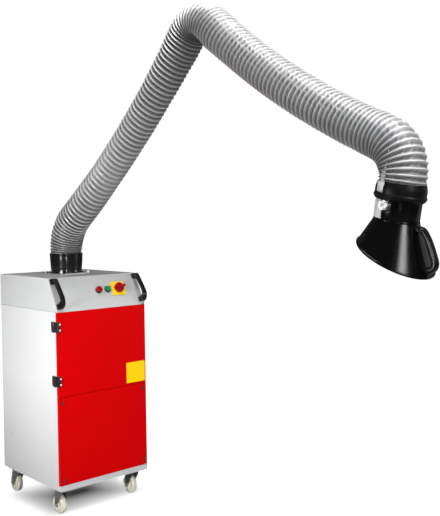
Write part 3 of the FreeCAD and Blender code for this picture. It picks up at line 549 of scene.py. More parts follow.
cy, cz = integrate(hr)
true_y, true_z = integrate(np.radians(raw))
drift = np.clip((grid - 300.0) / 2600.0, 0, 1)
cy = cy + (true_y[-1] - cy[-1]) * drift
cz = cz + (true_z[-1] - cz[-1]) * drift
kappa = np.gradient(hr, grid)


PITCH_S = [0, 30, 90, 210, 360, 660, 810, 960, 1110, 1260, 1400, 1480, 1560, 1640, 1720, 1800, 1880, 2010, 2460, 2610,
           2760, 2850, 2930, 3000]
PITCH_V = [13, 15.5, 20, 28.5, 31.3, 31.3, 29.8, 27.6, 26.6, 26.2, 24.2, 21, 18, 17.5, 21, 25, 26.8, 25.6, 25.2, 24,
           20.5, 18, 16.8, 17]
pitch = np.interp(grid, PITCH_S, PITCH_V)
phase = np.concatenate([[0], np.cumsum(1.0 / ((pitch[1:] + pitch[:-1]) / 2))])
TOTAL = phase[-1]
CREST_S = [0, 12, 60, 120, 240, 420, 560, 900, 1200, 1380, 1500, 1625, 1760, 1950, 2400, 2700, 2820, 2900, 2975, 3000]
CREST_V = [88.0, 90.5, 91.0, 92.0, 91.0, 88.0, 84.5, 82.8, 83.2, 86, 90.5, 92.5, 91.5, 87.5, 86, 86, 88.5, 88.5, 88, 87]

FQ = [0.0, 0.045, 0.11, 0.20, 0.32, 0.44, 0.56, 0.68, 0.80, 0.89, 0.955]
PER = len(FQ)
NSEG = 160
rng = np.random.RandomState(7)
RINGS = int(math.ceil(TOTAL)) + 2
ring_r = rng.normal(0, 0.35, RINGS + 4)
ring_r = np.convolve(ring_r, [0.25, 0.5, 0.25], "same")
ring_seed = np.cumsum(rng.normal(0.55, 0.45, RINGS + 4))
lump_phase = rng.uniform(0, 2 * math.pi, (RINGS + 4, 3))
lump_phase = lump_phase * 0.35 + np.cumsum(rng.normal(0, 0.5, (RINGS + 4, 3)), axis=0)
theta = 2 * math.pi * np.arange(NSEG + 1) / NSEG

# amplitude of the cross folds along the hose (mm)
FOLD_S = [0, 200, 600, 900, 1300, 1500, 1625, 1750, 1950, 2500, 2750, 2850, 3000]
FOLD_V = [0.15, 0.25, 0.6, 1.2, 1.5, 1.6, 1.0, 1.8, 2.3, 2.3, 1.9, 1.5, 1.2]

rows_xyz, rows_uv, rows_shade = [], [], []
ELBOW = float(grid[np.argmax(np.abs(kappa) * ((grid > 1400) & (grid < 1850)))])   # the sharpest point of the fold
KEYS = []
for ring in range(-1, RINGS):
    for q in range(PER):
        KEYS.append((ring, FQ[q]))
for ring, f in KEYS:
    ph = ring + f + theta / (2 * math.pi)
    s = np.interp(np.clip(ph, 0, TOTAL), phase, grid)
    out = (ph <= 0) | (ph >= TOTAL)
    a = theta + math.pi                    # the turn's seam runs along the underside
    ca, sa = np.cos(a), np.sin(a)
    k = np.interp(s, grid, kappa)
    p0 = np.interp(s, grid, pitch)
    R = np.interp(s, CREST_S, CREST_V)
    loc = np.clip(p0 * (1 - k * R * ca), 2.0, 60.0)
    free = 34.0
    D = np.clip(0.80 * np.sqrt(0.375 * loc * np.clip(free - loc, 1.2, None)), 2.2, 7.6)
    # less depth where the wires nearly touch
    D = D * np.clip((loc - 1.0) / 9.0, 0.25, 1.0)
    v = 1.0 - abs(1.0 - 2.0 * f) ** 2.0
    rr_ = R + ring_r[ring + 2] - D * v
    # cross folds: slanted creases between one wire and the next
    ang = np.arccos(np.clip(ca, -1, 1))
    side = 0.25 + 0.75 * np.exp(-((ang - 1.0) / 0.62) ** 2)
    fold = np.interp(s, FOLD_S, FOLD_V) * side
    lp = lump_phase[ring + 2]
    patch = 0.55 + 0.45 * np.sin(3 * a + lp[0]) * np.sin(5 * a + lp[1])
    sgn = np.where(sa < 0, 1.0, -1.0)
    x = 19 * a * 1.0 + sgn * 2 * math.pi * 0.85 * (f - 0.5) + ring_seed[ring + 2] * sgn
    w = 1.0 - 2.0 * np.abs(np.sin(x / 2.0)) ** 0.75
    x2 = 31 * a + 4.0 * f + lp[2]
    w = w + 0.35 * np.sin(x2)
    rr_ = rr_ + fold * patch * math.sin(math.pi * f) ** 0.8 * w
    # the fold draws the inner side of the elbow in
    rr_ = rr_ - 19.0 * np.exp(-((s - ELBOW - 15.0) / 125.0) ** 2) * np.clip(np.sign(k) * ca, 0, 1) ** 2
    rr_ = np.where(out, np.interp(s, CREST_S, CREST_V) - 2.0, rr_)
    py, pz = np.interp(s, grid, cy), np.interp(s, grid, cz)
    hh = np.interp(s, grid, hr)
    X = rr_ * sa
    Y = py + rr_ * ca * np.sin(hh)
    Z = pz + rr_ * ca * np.cos(hh)
    rows_xyz.append(np.stack([X, Y, Z], 1) / 1000.0)
    rows_uv.append(np.stack([s / 1000.0, theta * 0.087], 1))
    tight = np.clip((22.0 - loc) / 16.0, 0, 1)        # painted shade where the wires lie close
    # painted shade grows with the valley depth and eases where a fold stands out
    depth = D * v / 7.4 - 0.55 * w * fold * patch / 2.0 * math.sin(math.pi * f)
    depth = depth + tight * (0.06 + 0.85 * v)
    # more painted shade where the wires nearly touch; near the cabinet the painted shade and ridge highlight are
    # stronger
    depth = depth + 0.8 * np.clip((8.5 - loc) / 4.0, 0, 1)
    depth = depth + 0.55 * (v - 0.45) * np.clip((650.0 - s) / 300.0, 0, 1)
    depth = np.clip(depth, 0, 1)
    rows_shade.append(np.where(out, 0.6, depth))
ROWS_XYZ, ROWS_UV, ROWS_SHADE = np.array(rows_xyz), np.array(rows_uv), np.array(rows_shade)


def hose_piece(name, k0, k1):
    """Rows k0..k1 of the turned ribbon. Its last column meets its first one turn further on."""
    n = NSEG + 1
    co = ROWS_XYZ[k0:k1 + 1].reshape(-1, 3)
    uv = ROWS_UV[k0:k1 + 1].reshape(-1, 2)
    shade_vals = ROWS_SHADE[k0:k1 + 1].reshape(-1)
    rows = k1 - k0 + 1
    r, c = np.meshgrid(np.arange(rows - 1), np.arange(NSEG), indexing="ij")
    i0 = (r * n + c).ravel()
    quads = np.stack([i0, i0 + 1, i0 + n + 1, i0 + n], 1)
    # drop quads with no area, where the ends are cut square
    d1 = np.linalg.norm(co[quads[:, 0]] - co[quads[:, 3]], axis=1)
    d2 = np.linalg.norm(co[quads[:, 1]] - co[quads[:, 2]], axis=1)
    quads = quads[(d1 > 1e-6) | (d2 > 1e-6)]
    me = bpy.data.meshes.new(name)
    me.from_pydata(co.tolist(), [], quads.tolist())
    lay = me.uv_layers.new(name="hose_uv")
    idx = np.zeros(len(me.loops), np.int32)
    me.loops.foreach_get("vertex_index", idx)
    lay.data.foreach_set("uv", uv[idx].astype(np.float32).ravel())
    # the painted shade amount is stored on each vertex
    at = me.attributes.new("painted_crease_shade", "FLOAT", "POINT")
    at.data.foreach_set("value", shade_vals.astype(np.float32))
    bm = bmesh.new()
    bm.from_mesh(me)
    bmesh.ops.remove_doubles(bm, verts=bm.verts, dist=2e-6)
    bmesh.ops.dissolve_degenerate(bm, edges=bm.edges, dist=1e-7)
    loose = [v for v in bm.verts if not v.link_faces]
    bmesh.ops.delete(bm, geom=loose, context="VERTS")
    bm.normal_update()
    for f in bm.faces:
        f.smooth = True
    bm.to_mesh(me)
    bm.free()
    me.materials.append(M["hose"])
    o = bpy.data.objects.new(name, me)
    scene.collection.objects.link(o)
    return o


def row_of(s):
    ring = int(round(np.interp(s, grid, phase)))
    return (ring + 1) * PER


kA, kB = row_of(930.0), row_of(2300.0)
hose_a = hose_piece("hose_low", 0, kA)
hose_b = hose_piece("hose_mid", kA, kB)
hose_c = hose_piece("hose_top", kB, len(KEYS) - 1)
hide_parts("hose_base", "hose_lower")
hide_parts("hose_elbow")
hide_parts("hose_upper", "hose_wrist")
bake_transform(hose_a)
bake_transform(hose_b)
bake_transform(hose_c)


# ------------------------------------------------------------------ hard pieces
def tidy(o, bevel=0.0, angle=35.0, segs=2):
    """Outward normals, and small rounded edges where asked."""
    bm = bmesh.new()
    bm.from_mesh(o.data)
    bmesh.ops.recalc_face_normals(bm, faces=bm.faces)
    bm.to_mesh(o.data)
    bm.free()
    if bevel > 0:
        b = o.modifiers.new("edges", "BEVEL")
        b.width = bevel
        b.segments = segs
        b.limit_method = "ANGLE"
        b.angle_limit = math.radians(angle)
        b.harden_normals = True
    return o


def arc_lathe(prof, origin, axis, e1, a0, a1, segs):
    """Closed profile [(r, z)] carried through part of a turn, with end caps."""
    d = Vector(axis).normalized()
    q1 = Vector(e1).normalized()
    q2 = d.cross(q1)
    origin = Vector(origin)
    verts, faces, n = [], [], len(prof)
    for k in range(segs + 1):
        a = a0 + (a1 - a0) * k / segs
        u = q1 * math.cos(a) + q2 * math.sin(a)
        for r, z in prof:
            verts.append(origin + d * z + u * r)
    for k in range(segs):
        for i in range(n):
            j = (i + 1) % n
            faces.append([k * n + i, k * n + j, (k + 1) * n + j, (k + 1) * n + i])
    faces.append(list(range(n)))
    faces.append([segs * n + i for i in range(n)][::-1])
    return verts, faces


def prism_yz(outline, x0, x1):
    n = len(outline)
    verts = [Vector((x0, y, z)) for y, z in outline] + [Vector((x1, y, z)) for y, z in outline]
    faces = [list(range(n)), [n + i for i in range(n)][::-1]]
    for i in range(n):
        j = (i + 1) % n
        faces.append([i, j, n + j, n + i])
    return verts, faces


UP = Vector((0, 0, 1))
DUCT = Vector((0, DUCT_Y, 0))

# rubber cuff at the foot of the hose, on the turning duct
prof = [(0.0852, 1.2660), (0.0856, 1.2652), (0.0863, 1.2660), (0.0869, 1.2760), (0.0877, 1.2880), (0.0886, 1.3000),
        (0.0895, 1.3120), (0.0902, 1.3230), (0.0906, 1.3330), (0.0910, 1.3420), (0.0915, 1.3490), (0.0920, 1.3520),
        (0.0920, 1.3538), (0.0910, 1.3556), (0.0890, 1.3562), (0.0868, 1.3558), (0.0853, 1.3545)]
tidy(make("cuff_base", *lathe(prof, DUCT, UP, 128, closed=True), "duct", "arm_base", replaces=["base_cuff"],
          slot="rubber"))
prof = [(0.0822, 1.2455), (0.0905, 1.2453), (0.0918, 1.2462), (0.0919, 1.2490), (0.0910, 1.2501), (0.0872, 1.2504),
        (0.0856, 1.2510), (0.0850, 1.2535), (0.0849, 1.2580), (0.0850, 1.2700), (0.0850, 1.2900), (0.0851, 1.3000),
        (0.0850, 1.3552), (0.0842, 1.3558), (0.0826, 1.3556), (0.0822, 1.3540), (0.0822, 1.3000)]
tidy(make("duct_turning", *lathe(prof, DUCT, UP, 128, closed=True), "duct", "arm_base", replaces=["swivel_duct"],
          slot="black_metal"))

# a thin dark strip between the console cover and the sheets below it: painted shade standing for the shadow in that
# seam
ga = []
for x0, x1, y0, y1 in ((-0.27518, -0.2735, -0.3105, 0.31218), (0.2735, 0.27518, -0.3105, 0.31218),
                       (-0.2735, 0.2735, 0.3105, 0.31218)):
    vs = [Vector((x, y, z)) for z in (1.0692, 1.0706) for y in (y0, y1) for x in (x0, x1)]
    ga.append((vs, [[0, 1, 3, 2], [4, 6, 7, 5], [0, 4, 5, 1], [2, 3, 7, 6], [0, 2, 6, 4], [1, 5, 7, 3]]))
tidy(make("console_seam_shade", *join(*ga), "gasket", "cabinet", slot="rubber", smooth=False))

# flange bolts: chamfered hexagon with a dome, each on a broad dark disc
parts, dark_discs = [], []
for sx in (-1, 1):
    for sy in (-1, 1):
        at = Vector((sx * 0.086, DUCT_Y + sy * 0.086, 1.2451))
        dark_discs.append(lathe([(0.0, 0.0), (0.0124, 0.0), (0.0130, 0.0005), (0.0130, 0.0016), (0.0122, 0.0024), (0.0, 0.0024)],
                           at, UP, 48))

        def hexa(a, r, z, c=0.0078):
            flat = c / math.cos((a + math.pi / 6) % (math.pi / 3) - math.pi / 6)
            return min(r, flat)
        parts.append(lathe([(0.0, 0.0022), (0.0089, 0.0022), (0.0089, 0.0062), (0.0082, 0.0074), (0.0076, 0.0084),
                            (0.0066, 0.0104), (0.0048, 0.0124), (0.0024, 0.0135), (0.0, 0.0138)], at, UP, 48, radial=hexa))


def square(a, r, z):
    return r if r < 0.1 else 0.0932 / math.cos((a + math.pi / 4) % (math.pi / 2) - math.pi / 4)


# a thin black sheet on the flange top: painted shade and painted reflection, standing for the dark the duct casts and
# mirrors there
tidy(make("flange_shade_sheet", *lathe([(0.0935, 0.0), (0.12, 0.0), (0.12, 0.0004), (0.1199, 0.0007), (0.0935, 0.0007)],
                               Vector((0, DUCT_Y, 1.24505)), UP, 128, radial=square, closed=True), "rubber", "cabinet",
          slot="rubber", sharp=40))
tidy(make("bolts_flange", *join(*parts), "bolt", "cabinet", replaces=["flange_bolts"], slot="bright_zinc", sharp=40))
tidy(make("dark_discs_flange", *join(*dark_discs), "rubber", "cabinet", slot="rubber", sharp=40))

# the stop button: a mushroom on its stem, with a rounded rim that stays clear of the bezel when pressed
tidy(make("stop_mushroom", *lathe([(0.0, -0.008), (0.0086, -0.008), (0.0086, 0.0093), (0.0172, 0.0093), (0.0178, 0.0096),
                                   (0.0180, 0.0102), (0.0180, 0.0140), (0.0178, 0.0152), (0.0171, 0.0161),
                                   (0.0162, 0.0167), (0.0150, 0.0170), (0.0, 0.0170)], on_panel(0.005, 0.1055), SL_N, 72),
          "red_plastic", "stop", replaces=["stop_button"], slot="red_plastic", sharp=40))

# bright countersunk screws in the hinge plates on the door
parts = []
for z0, z1 in ((0.687, 0.741), (0.967, 1.021)):
    for z in (z0 + 0.012, z1 - 0.012):
        parts.append(lathe([(0.0, -0.0004), (0.0046, -0.0004), (0.0046, 0.0006), (0.0040, 0.0016), (0.0026, 0.0023),
                            (0.0009, 0.0026), (0.0, 0.0020)], Vector((-0.2655, -0.3167, z)), Vector((0, -1, 0)), 36))
tidy(make("hinge_screws", *join(*parts), "bolt", "door", slot="bright_zinc", sharp=40))

# small blind plug low on the left side
tidy(make("side_plug", *lathe([(0.0, -0.0004), (0.0050, -0.0004), (0.0050, 0.0004), (0.0044, 0.0010), (0.0020, 0.0014),
                               (0.0, 0.0015)], Vector((-0.275, 0.220, 0.350)), Vector((-1, 0, 0)), 36),
          "plastic_grey", "cabinet", slot="box_plastic", sharp=40))

# push handles: moulded bridges that stand further off the panel at their lower ends
GRIP = [(16, 0.05), (13.6, 6), (12.2, 13), (12.4, 20), (13.6, 28), (16, 34.8), (20, 41), (24.6, 46.2), (30, 50.5),
        (35, 53.5), (40, 55.5), (46.5, 57), (54, 57.6), (62, 57.4), (72, 56.5), (83, 54.6), (95, 52.5), (107, 50.5),
        (118.5, 48.5), (132, 46.1), (146, 43.6), (156, 41.3), (165.5, 38.5), (170.8, 36.5), (175, 33.5), (178.4, 29.2),
        (181, 24), (183.2, 17), (184.5, 10), (185, 0.05), (155, 0.05), (153.9, 6), (152, 12), (149.8, 19), (147, 26),
        (144.6, 30.4), (141.5, 33.5), (137, 36.1), (131.5, 37.7), (114, 40.6), (97, 43.5), (88, 45.2), (80.4, 46.4),
        (70, 47.7), (61, 48), (55.2, 47.4), (50.5, 46), (46.6, 43.5), (43.5, 40), (41.6, 35.4), (41, 30), (40.9, 24),
        (41.5, 18), (43, 8), (44, 0.05)]
for side, x in (("left", -0.257), ("right", 0.257)):
    n = len(GRIP)
    verts = [on_panel(x + dx, a / 1000.0, b / 1000.0) for dx in (-0.014, 0.014) for a, b in GRIP]
    faces = [list(range(n)), [n + i for i in range(n)][::-1]]
    faces += [[i, (i + 1) % n, n + (i + 1) % n, n + i] for i in range(n)]
    o = tidy(make("grip_" + side, verts, faces, "grip", "cabinet", replaces=["console_handles"], slot="black_plastic",
                  sharp=50), bevel=0.0030, angle=60, segs=4)

# hood cuff: moulded sleeve, slotted where the steel straps pass under its bead
MID, HALF = math.radians(31.5), math.radians(23.3)
E_LEFT = Vector((-1, 0, 0))
sleeve = [(0.0838, 0.0008), (0.0848, -0.0004), (0.0856, 0.0002), (0.0864, 0.0025), (0.0876, 0.0075), (0.0889, 0.0125),
          (0.0899, 0.0165), (0.0905, 0.0200), (0.0907, 0.0240), (0.0906, 0.0320), (0.0905, 0.0380), (0.0905, 0.0440),
          (0.0838, 0.0440)]
bead = [(0.0836, 0.0400), (0.0903, 0.0388), (0.0912, 0.0400), (0.0925, 0.0425), (0.0934, 0.0460), (0.0935, 0.0490),
        (0.0928, 0.0520), (0.0910, 0.0552), (0.0882, 0.0588), (0.0852, 0.0618), (0.0830, 0.0634), (0.0812, 0.0640),
        (0.0803, 0.0632), (0.0803, 0.0560), (0.0836, 0.0540)]
# angles run from -X round the neck; the sign of the cross product decides which way is back
q2 = NA.cross(E_LEFT)
back = 1.0 if q2.dot(-NF) > 0 else -1.0
a_l, a_r = back * MID, back * (math.pi - MID)
spans = sorted([a_l, a_r])
g = HALF
first = arc_lathe(sleeve, NECK, NA, E_LEFT, spans[0] + g, spans[1] - g, 60)
second = arc_lathe(sleeve, NECK, NA, E_LEFT, spans[1] + g, spans[0] - g + 2 * math.pi, 84)
ring = lathe(bead, NECK, NA, 144, e1=E_LEFT, closed=True)
tidy(make("cuff_hood", *join(first, second, ring), "rubber", "hood", replaces=["hood_cuff"], slot="rubber", sharp=45))

# brushed plates of the strap, seen in the two slots of the sleeve
plates = []
for mid in (a_l, a_r):
    w = math.radians(21.6)
    plates.append(arc_lathe([(0.0831, 0.0012), (0.0838, 0.0012), (0.0844, 0.0020), (0.0846, 0.0200), (0.0844, 0.0384),
                             (0.0838, 0.0392), (0.0831, 0.0392)], NECK, NA, E_LEFT, mid - w, mid + w, 36))
tidy(make("strap_plates", *join(*plates), "strap", "hood", slot="bright_zinc", sharp=40))

# neck tube with a raised dial plate for the damper and two painted marks
prof = [(0.0772, 0.0062), (0.0798, 0.0060), (0.0800, 0.0066), (0.0800, 0.0300), (0.0800, 0.0900), (0.0800, 0.1280),
        (0.0796, 0.1287), (0.0774, 0.1287), (0.0770, 0.1280), (0.0770, 0.0900), (0.0770, 0.0300), (0.0770, 0.0070)]
tidy(make("neck", *lathe(prof, NECK, NA, 144, e1=E_LEFT, closed=True), "hood", "hood", replaces=["hood_neck"],
          slot="hood_sheet", sharp=50))
KN = nk(0.080)
v, f = lathe([(0.0062, 0.0765), (0.0235, 0.0765), (0.0240, 0.0815), (0.0234, 0.0829), (0.0222, 0.0835), (0.0062, 0.0835)],
             KN, E_LEFT, 72, closed=True)
tidy(make("dial_plate", v, f, "black_plastic", "hood", slot="black_plastic", sharp=40))


marks = []
for ang, r0, r1, w in ((60, 0.0180, 0.0238, 0.0046), (14, 0.0180, 0.0238, 0.0046)):
    a = math.radians(ang)
    u = NF * math.cos(a) - NA * math.sin(a)
    vv = NF * math.sin(a) + NA * math.cos(a)
    face = KN + E_LEFT * 0.08345
    vs = [face + E_LEFT * h + u * r + vv * (w * sgn / 2) for h in (0.0, 0.0004) for r in (r0, r1) for sgn in (-1, 1)]
    marks.append((vs, [[0, 1, 3, 2], [4, 6, 7, 5], [0, 4, 5, 1], [2, 3, 7, 6], [0, 2, 6, 4], [1, 5, 7, 3]]))
tidy(make("dial_marks", *join(*marks), "mark_white", "hood", slot="hood_sheet", smooth=False))

# cone: spun sheet from the neck to the slanting mouth, with a rolled rim
TILT = math.radians(30.0)
MN = Vector((0, math.sin(TILT), -math.cos(TILT)))
MC = Vector((0, -2.182, 1.3965))
CS = 144


def ring_pts(c, nrm, r, n=CS):
    e2 = nrm.cross(E_LEFT)
    return [c + E_LEFT * (r * math.cos(2 * math.pi * k / n)) + e2 * (r * math.sin(2 * math.pi * k / n)) for k in range(n)]


def stack(rings):
    n = len(rings[0])
    verts = [p for r in rings for p in r]
    faces = []
    m = len(rings)
    for i in range(m):
        j = (i + 1) % m
        for k in range(n):
            q = (k + 1) % n
            faces.append([i * n + k, i * n + q, j * n + q, j * n + k])
    return verts, faces


top_o, bot_o = ring_pts(nk(NECK_L), NA, 0.0824), ring_pts(MC, MN, 0.1470)
top_i, bot_i = ring_pts(nk(NECK_L) + NA * 0.0008, NA, 0.0795), ring_pts(MC, MN, 0.1440)
rings = [ring_pts(nk(0.1292), NA, 0.0803), ring_pts(nk(0.1290), NA, 0.0816), ring_pts(nk(0.1300), NA, 0.0823),
         ring_pts(nk(0.1330), NA, 0.0824), ring_pts(nk(0.1342), NA, 0.08242)]
for t in (0.012, 0.04, 0.10, 0.2, 0.35, 0.5, 0.65, 0.8, 0.9, 0.96, 0.985):
    rings.append([a.lerp(b, t) for a, b in zip(top_o, bot_o)])
rim_rings = []
for k in range(16):
    ang = math.radians(62 - k * 21.5)
    rim_rings.append(ring_pts(MC - MN * (0.0051 * math.sin(ang)), MN, 0.1450 + 0.0051 * math.cos(ang)))
rings += rim_rings
for t in (0.96, 0.85, 0.65, 0.4, 0.2, 0.05, 0.0):
    rings.append([a.lerp(b, t) for a, b in zip(top_i, bot_i)])
rings.append(ring_pts(nk(0.1340), NA, 0.0803))
tidy(make("cone", *stack(rings), "hood", "hood", replaces=["hood_cone"], slot="hood_sheet", sharp=62))

# carrying loop on the front of the cone
LOOP = [(-2266, 1491, 12.4), (-2277, 1490, 12.6), (-2289, 1488.6, 11.6), (-2299.5, 1482.5, 9.6), (-2308, 1471.5, 8.0),
        (-2317.5, 1454, 7.8), (-2327, 1430, 8.4), (-2334.5, 1408, 8.6), (-2341, 1388, 8.4), (-2343, 1373, 8.8),
        (-2338, 1360, 10.2), (-2327, 1352, 12.0), (-2314, 1348.5, 13.2), (-2302, 1347.5, 13.6)]
pts = catmull([Vector((0, y / 1000.0, z / 1000.0)) for y, z, _ in LOOP], 6)
wid = catmull([Vector((w / 1000.0, 0, 0)) for _, _, w in LOOP], 6)
ups, secs = [], []
for i in range(len(pts)):
    t = (pts[min(i + 1, len(pts) - 1)] - pts[max(i - 1, 0)]).normalized()
    ups.append(t.cross(Vector((1, 0, 0))))
    secs.append(superellipse(wid[i].x, 0.0142, 4.6, 36))
v, f = sweep(pts, secs, ups)
tidy(make("hood_loop", v, f, "grip", "hood", replaces=["hood_handle"], slot="black_plastic", sharp=50))


# knurled damper knob
def knurl(a, r, z):
    return r * (1 - 0.022 * (0.5 + 0.5 * math.cos(44 * a))) if r > 0.0168 else r


prof = [(0.0053, 0.0852), (0.0160, 0.0852), (0.01745, 0.0858), (0.0175, 0.0870), (0.0175, 0.0915), (0.0175, 0.0948),
        (0.0172, 0.0957), (0.0163, 0.0962), (0.0145, 0.0960), (0.0138, 0.0952), (0.0070, 0.0951), (0.0066, 0.0956),
        (0.0056, 0.0958), (0.0053, 0.0950)]
tidy(make("knob_damper", *lathe(prof, KN, E_LEFT, 264, closed=True, radial=knurl), "knob", "damper",
          replaces=["damper_knob"], slot="knob_metal", sharp=38))

# ----------------------------------------------------------------- casters
TRAIL = 0.027
for tag, sx, sy in (("fl", -1, -1), ("fr", 1, -1), ("rl", -1, 1), ("rr", 1, 1)):
    cx, cyy = sx * 0.225, sy * 0.238
    ax = cyy + TRAIL
    c = Vector((cx, ax, 0.050))
    # wheel: rounded tread, recessed sides, hub and six ribs
    half = [(0.00512, 0.0176), (0.0062, 0.0184), (0.0118, 0.0184), (0.0130, 0.0176), (0.0138, 0.0120), (0.0150, 0.0096),
            (0.0340, 0.0092), (0.0358, 0.0104), (0.0366, 0.0142), (0.0374, 0.0154), (0.0400, 0.0159), (0.0440, 0.0156),
            (0.0468, 0.0142), (0.0486, 0.0116), (0.0496, 0.0075), (0.0499, 0.0030)]
    prof = half + [(r, -z) for r, z in half[::-1]]
    wheel = lathe(prof, c, (1, 0, 0), 96, closed=True)
    ribs = []
    for k in range(6):
        a = math.radians(60 * k + 14)
        u, w = Vector((0, math.cos(a), math.sin(a))), Vector((0, -math.sin(a), math.cos(a)))
        for sgn in (-1, 1):
            vs = []
            for rr, hw in ((0.0132, 0.0026), (0.0362, 0.0022)):
                for hh in (0.0088, 0.0138):
                    k2 = hw * (1.0 if hh < 0.01 else 0.72)
                    vs.append(c + u * rr + w * k2 + Vector((sgn * hh, 0, 0)))
                    vs.append(c + u * rr - w * k2 + Vector((sgn * hh, 0, 0)))
            ribs.append((vs, [[2, 3, 7, 6], [0, 4, 5, 1], [0, 2, 6, 4], [1, 5, 7, 3], [0, 1, 3, 2], [4, 6, 7, 5]]))
    tidy(make("wheel_nylon_" + tag, *join(wheel, *ribs), "nylon", "wheel_body_" + tag, replaces=["wheel_" + tag],
              slot="wheel_nylon", sharp=42), bevel=0.0006, angle=50)
    # fork: pressed crown with a ball race and two legs that narrow to the axle
    zt = 0.145 - 0.0175
    crown = lathe([(0.0078, zt - 0.0040), (0.0230, zt - 0.0040), (0.0262, zt - 0.0034), (0.0285, zt - 0.0012),
                   (0.0290, zt + 0.0008), (0.0290, zt + 0.0026), (0.0282, zt + 0.0036), (0.0266, zt + 0.0040),
                   (0.0120, zt + 0.0040), (0.0078, zt + 0.0036)], Vector((cx, cyy, 0)), UP, 72, closed=True)
    deck = prism_yz([(cyy - 0.026, zt - 0.0040), (cyy + 0.034, zt - 0.0040), (cyy + 0.034, zt), (cyy - 0.026, zt)],
                    cx - 0.0205, cx + 0.0205)
    side = [(cyy - 0.026, zt), (cyy + 0.034, zt), (cyy + 0.0405, 0.104), (cyy + 0.0415, 0.088), (ax + 0.0135, 0.052)]
    for k in range(9):
        a = math.radians(8 - 22 * k)
        side.append((ax + 0.0130 * math.cos(a), 0.050 + 0.0130 * math.sin(a)))
    side += [(ax - 0.0150, 0.060), (cyy - 0.0110, 0.093), (cyy - 0.0250, 0.110)]
    legs = [prism_yz(side, cx - 0.0221, cx - 0.0191), prism_yz(side, cx + 0.0191, cx + 0.0221)]
    parts = [crown, deck] + legs
    tidy(make("fork_" + tag, *join(*parts), "fork", "caster_" + tag, replaces=["caster_fork_" + tag],
              slot="fork_steel", sharp=40), bevel=0.0009, angle=40)
    # axle: bolt head on one side, lock nut on the other
    def hexb(a, r, z, cc=0.0078):
        flat = cc / math.cos((a + math.pi / 6) % (math.pi / 3) - math.pi / 6)
        return min(r, flat)
    bolt = lathe([(0.0, -0.0282), (0.0060, -0.0282), (0.0080, -0.0274), (0.0089, -0.0262), (0.0089, -0.0236),
                  (0.0, -0.0236)], c, (1, 0, 0), 48, radial=hexb)
    wash = lathe([(0.0, -0.0238), (0.0096, -0.0238), (0.0100, -0.0232), (0.0100, -0.0224), (0.0, -0.0224)], c, (1, 0, 0), 48)
    nut = lathe([(0.0, 0.0224), (0.0100, 0.0224), (0.0100, 0.0234), (0.0089, 0.0236), (0.0089, 0.0262), (0.0082, 0.0272),
                 (0.0064, 0.0280), (0.0, 0.0280)], c, (1, 0, 0), 48, radial=hexb)
    shaft = lathe([(0.0, -0.0230), (0.0049, -0.0230), (0.0049, 0.0230), (0.0, 0.0230)], c, (1, 0, 0), 32)
    tidy(make("axle_" + tag, *join(bolt, wash, nut, shaft), "zinc", "caster_" + tag, slot="bright_zinc", sharp=35))


# ------------------------------------------------------------- floor and light
def quad_plane(name, size, z, mat):
    me = bpy.data.meshes.new(name)
    me.from_pydata([(-size, -size, z), (size, -size, z), (size, size, z), (-size, size, z)], [], [(0, 1, 2, 3)])
    me.materials.append(mat)
    o = bpy.data.objects.new(name, me)
    scene.collection.objects.link(o)
    return o


fm, fnt, fb = mat_new("floor_pale")
fb.inputs["Roughness"].default_value = 0.8
fb.inputs["Specular IOR Level"].default_value = 0.1
# a seamless white sweep: it glows brightest away from the cabinet, and beneath the cabinet its glow and colour fall
# into a painted shadow
ftc = fnt.nodes.new("ShaderNodeTexCoord")
fab = node(fnt, "ShaderNodeVectorMath", operation="ABSOLUTE")
fnt.links.new(ftc.outputs["Object"], fab.inputs[0])
fsub = node(fnt, "ShaderNodeVectorMath", operation="SUBTRACT")
fsub.inputs[1].default_value = (0.275, 0.212, 0.0)
fnt.links.new(fab.outputs["Vector"], fsub.inputs[0])
fsep = fnt.nodes.new("ShaderNodeSeparateXYZ")
fnt.links.new(fsub.outputs["Vector"], fsep.inputs[0])
fdist = node(fnt, "ShaderNodeMath", operation="SMOOTH_MAX")
fdist.inputs[2].default_value = 0.10
fnt.links.new(fsep.outputs["X"], fdist.inputs[0])
fnt.links.new(fsep.outputs["Y"], fdist.inputs[1])
fpos = map_range(fnt, fdist.outputs["Value"], 0.0, 1.0)
fpos.inputs["From Min"].default_value = -0.25
fpos.inputs["From Max"].default_value = 0.35
# the glow for camera rays fades out beneath the cabinet: a painted shadow
floor_glow_painted_shadow = ramp(fnt, fpos.outputs[0], [(0.0, (0.0, 0.0, 0.0)), (0.10, (0.01, 0.01, 0.01)), (0.34, (0.46, 0.46, 0.46)),
                                    (0.44, (0.66, 0.66, 0.66)), (0.56, (0.98, 0.98, 0.98)), (0.80, (1.0, 1.0, 1.0))])
flp = fnt.nodes.new("ShaderNodeLightPath")
fmul = node(fnt, "ShaderNodeMath", operation="MULTIPLY")
fnt.links.new(floor_glow_painted_shadow.outputs["Color"], fmul.inputs[0])
fnt.links.new(flp.outputs["Is Camera Ray"], fmul.inputs[1])
fb.inputs["Emission Color"].default_value = (1, 1, 1, 1)
fnt.links.new(fmul.outputs[0], fb.inputs["Emission Strength"])
# the floor colour darkens beneath the cabinet: a painted shadow
floor_painted_shadow = ramp(fnt, fpos.outputs[0], [(0.0, (0.08, 0.08, 0.08)), (0.30, (0.22, 0.22, 0.22)), (0.50, (0.36, 0.36, 0.36)),
                                   (1.0, (0.40, 0.40, 0.40))])
fnt.links.new(floor_painted_shadow.outputs["Color"], fb.inputs["Base Color"])
floor = quad_plane("floor", 60.0, 0.0, fm)

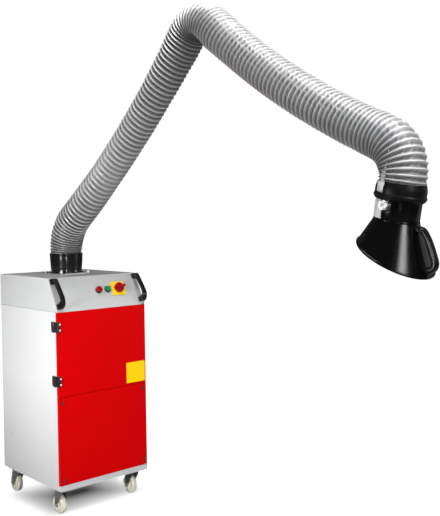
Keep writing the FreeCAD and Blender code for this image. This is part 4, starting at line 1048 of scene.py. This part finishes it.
world = bpy.data.worlds.new("studio")
scene.world = world
world.use_nodes = True
wn = world.node_tree
wn.nodes.clear()
wo = wn.nodes.new("ShaderNodeOutputWorld")
bg_cam = wn.nodes.new("ShaderNodeBackground")
bg_lit = wn.nodes.new("ShaderNodeBackground")
bg_cam.inputs["Color"].default_value = (1, 1, 1, 1)
bg_cam.inputs["Strength"].default_value = 1.05
bg_lit.inputs["Color"].default_value = (1, 1, 1, 1)
bg_lit.inputs["Strength"].default_value = 0.08
lp_ = wn.nodes.new("ShaderNodeLightPath")
mxw = wn.nodes.new("ShaderNodeMixShader")
wn.links.new(lp_.outputs["Is Camera Ray"], mxw.inputs[0])
wn.links.new(bg_lit.outputs[0], mxw.inputs[1])
wn.links.new(bg_cam.outputs[0], mxw.inputs[2])
wn.links.new(mxw.outputs[0], wo.inputs[0])


def area(name, at, target, size_x, size_y, power, spread=180.0):
    d = bpy.data.lights.new(name, "AREA")
    d.shape = "RECTANGLE"
    d.size, d.size_y = size_x, size_y
    d.energy = power
    d.spread = math.radians(spread)
    o = bpy.data.objects.new(name, d)
    scene.collection.objects.link(o)
    o.location = at
    o.rotation_mode = "QUATERNION"
    o.rotation_quaternion = (Vector(target) - Vector(at)).to_track_quat("-Z", "Y")
    return o


area("soft_left", (-4.3, -1.6, 1.30), (-0.27, -0.28, 0.80), 1.0, 1.3, 10.5, 38)
area("left_arm", (-3.6, -0.9, 1.35), (0, -2.10, 1.72), 0.9, 0.9, 2.8, 44)
area("hose_left", (-1.6, 3.3, 1.9), (0, -0.38, 2.12), 0.7, 0.7, 1.1, 22)
area("strip_front", (-0.55, -6.0, 2.2), (-0.2, -1.0, 1.1), 0.75, 2.4, 17)
area("strip_hood", (-0.38, -5.0, 2.95), (-0.03, -2.25, 1.45), 1.1, 1.3, 4.6, 42)
area("strip_duct", (-2.75, -4.75, 1.00), (0, 0.05, 1.30), 0.10, 0.9, 2.2, 40)
area("soft_right", (3.1, -3.3, 1.5), (0, -0.3, 0.80), 0.9, 1.2, 3.1, 42)
area("fill_right", (3.4, -3.0, 1.4), (0, -2.2, 1.45), 1.8, 2.4, 4.5)
area("top_soft", (-0.3, -2.0, 4.5), (-0.1, -1.0, 1.0), 2.4, 2.4, 165)
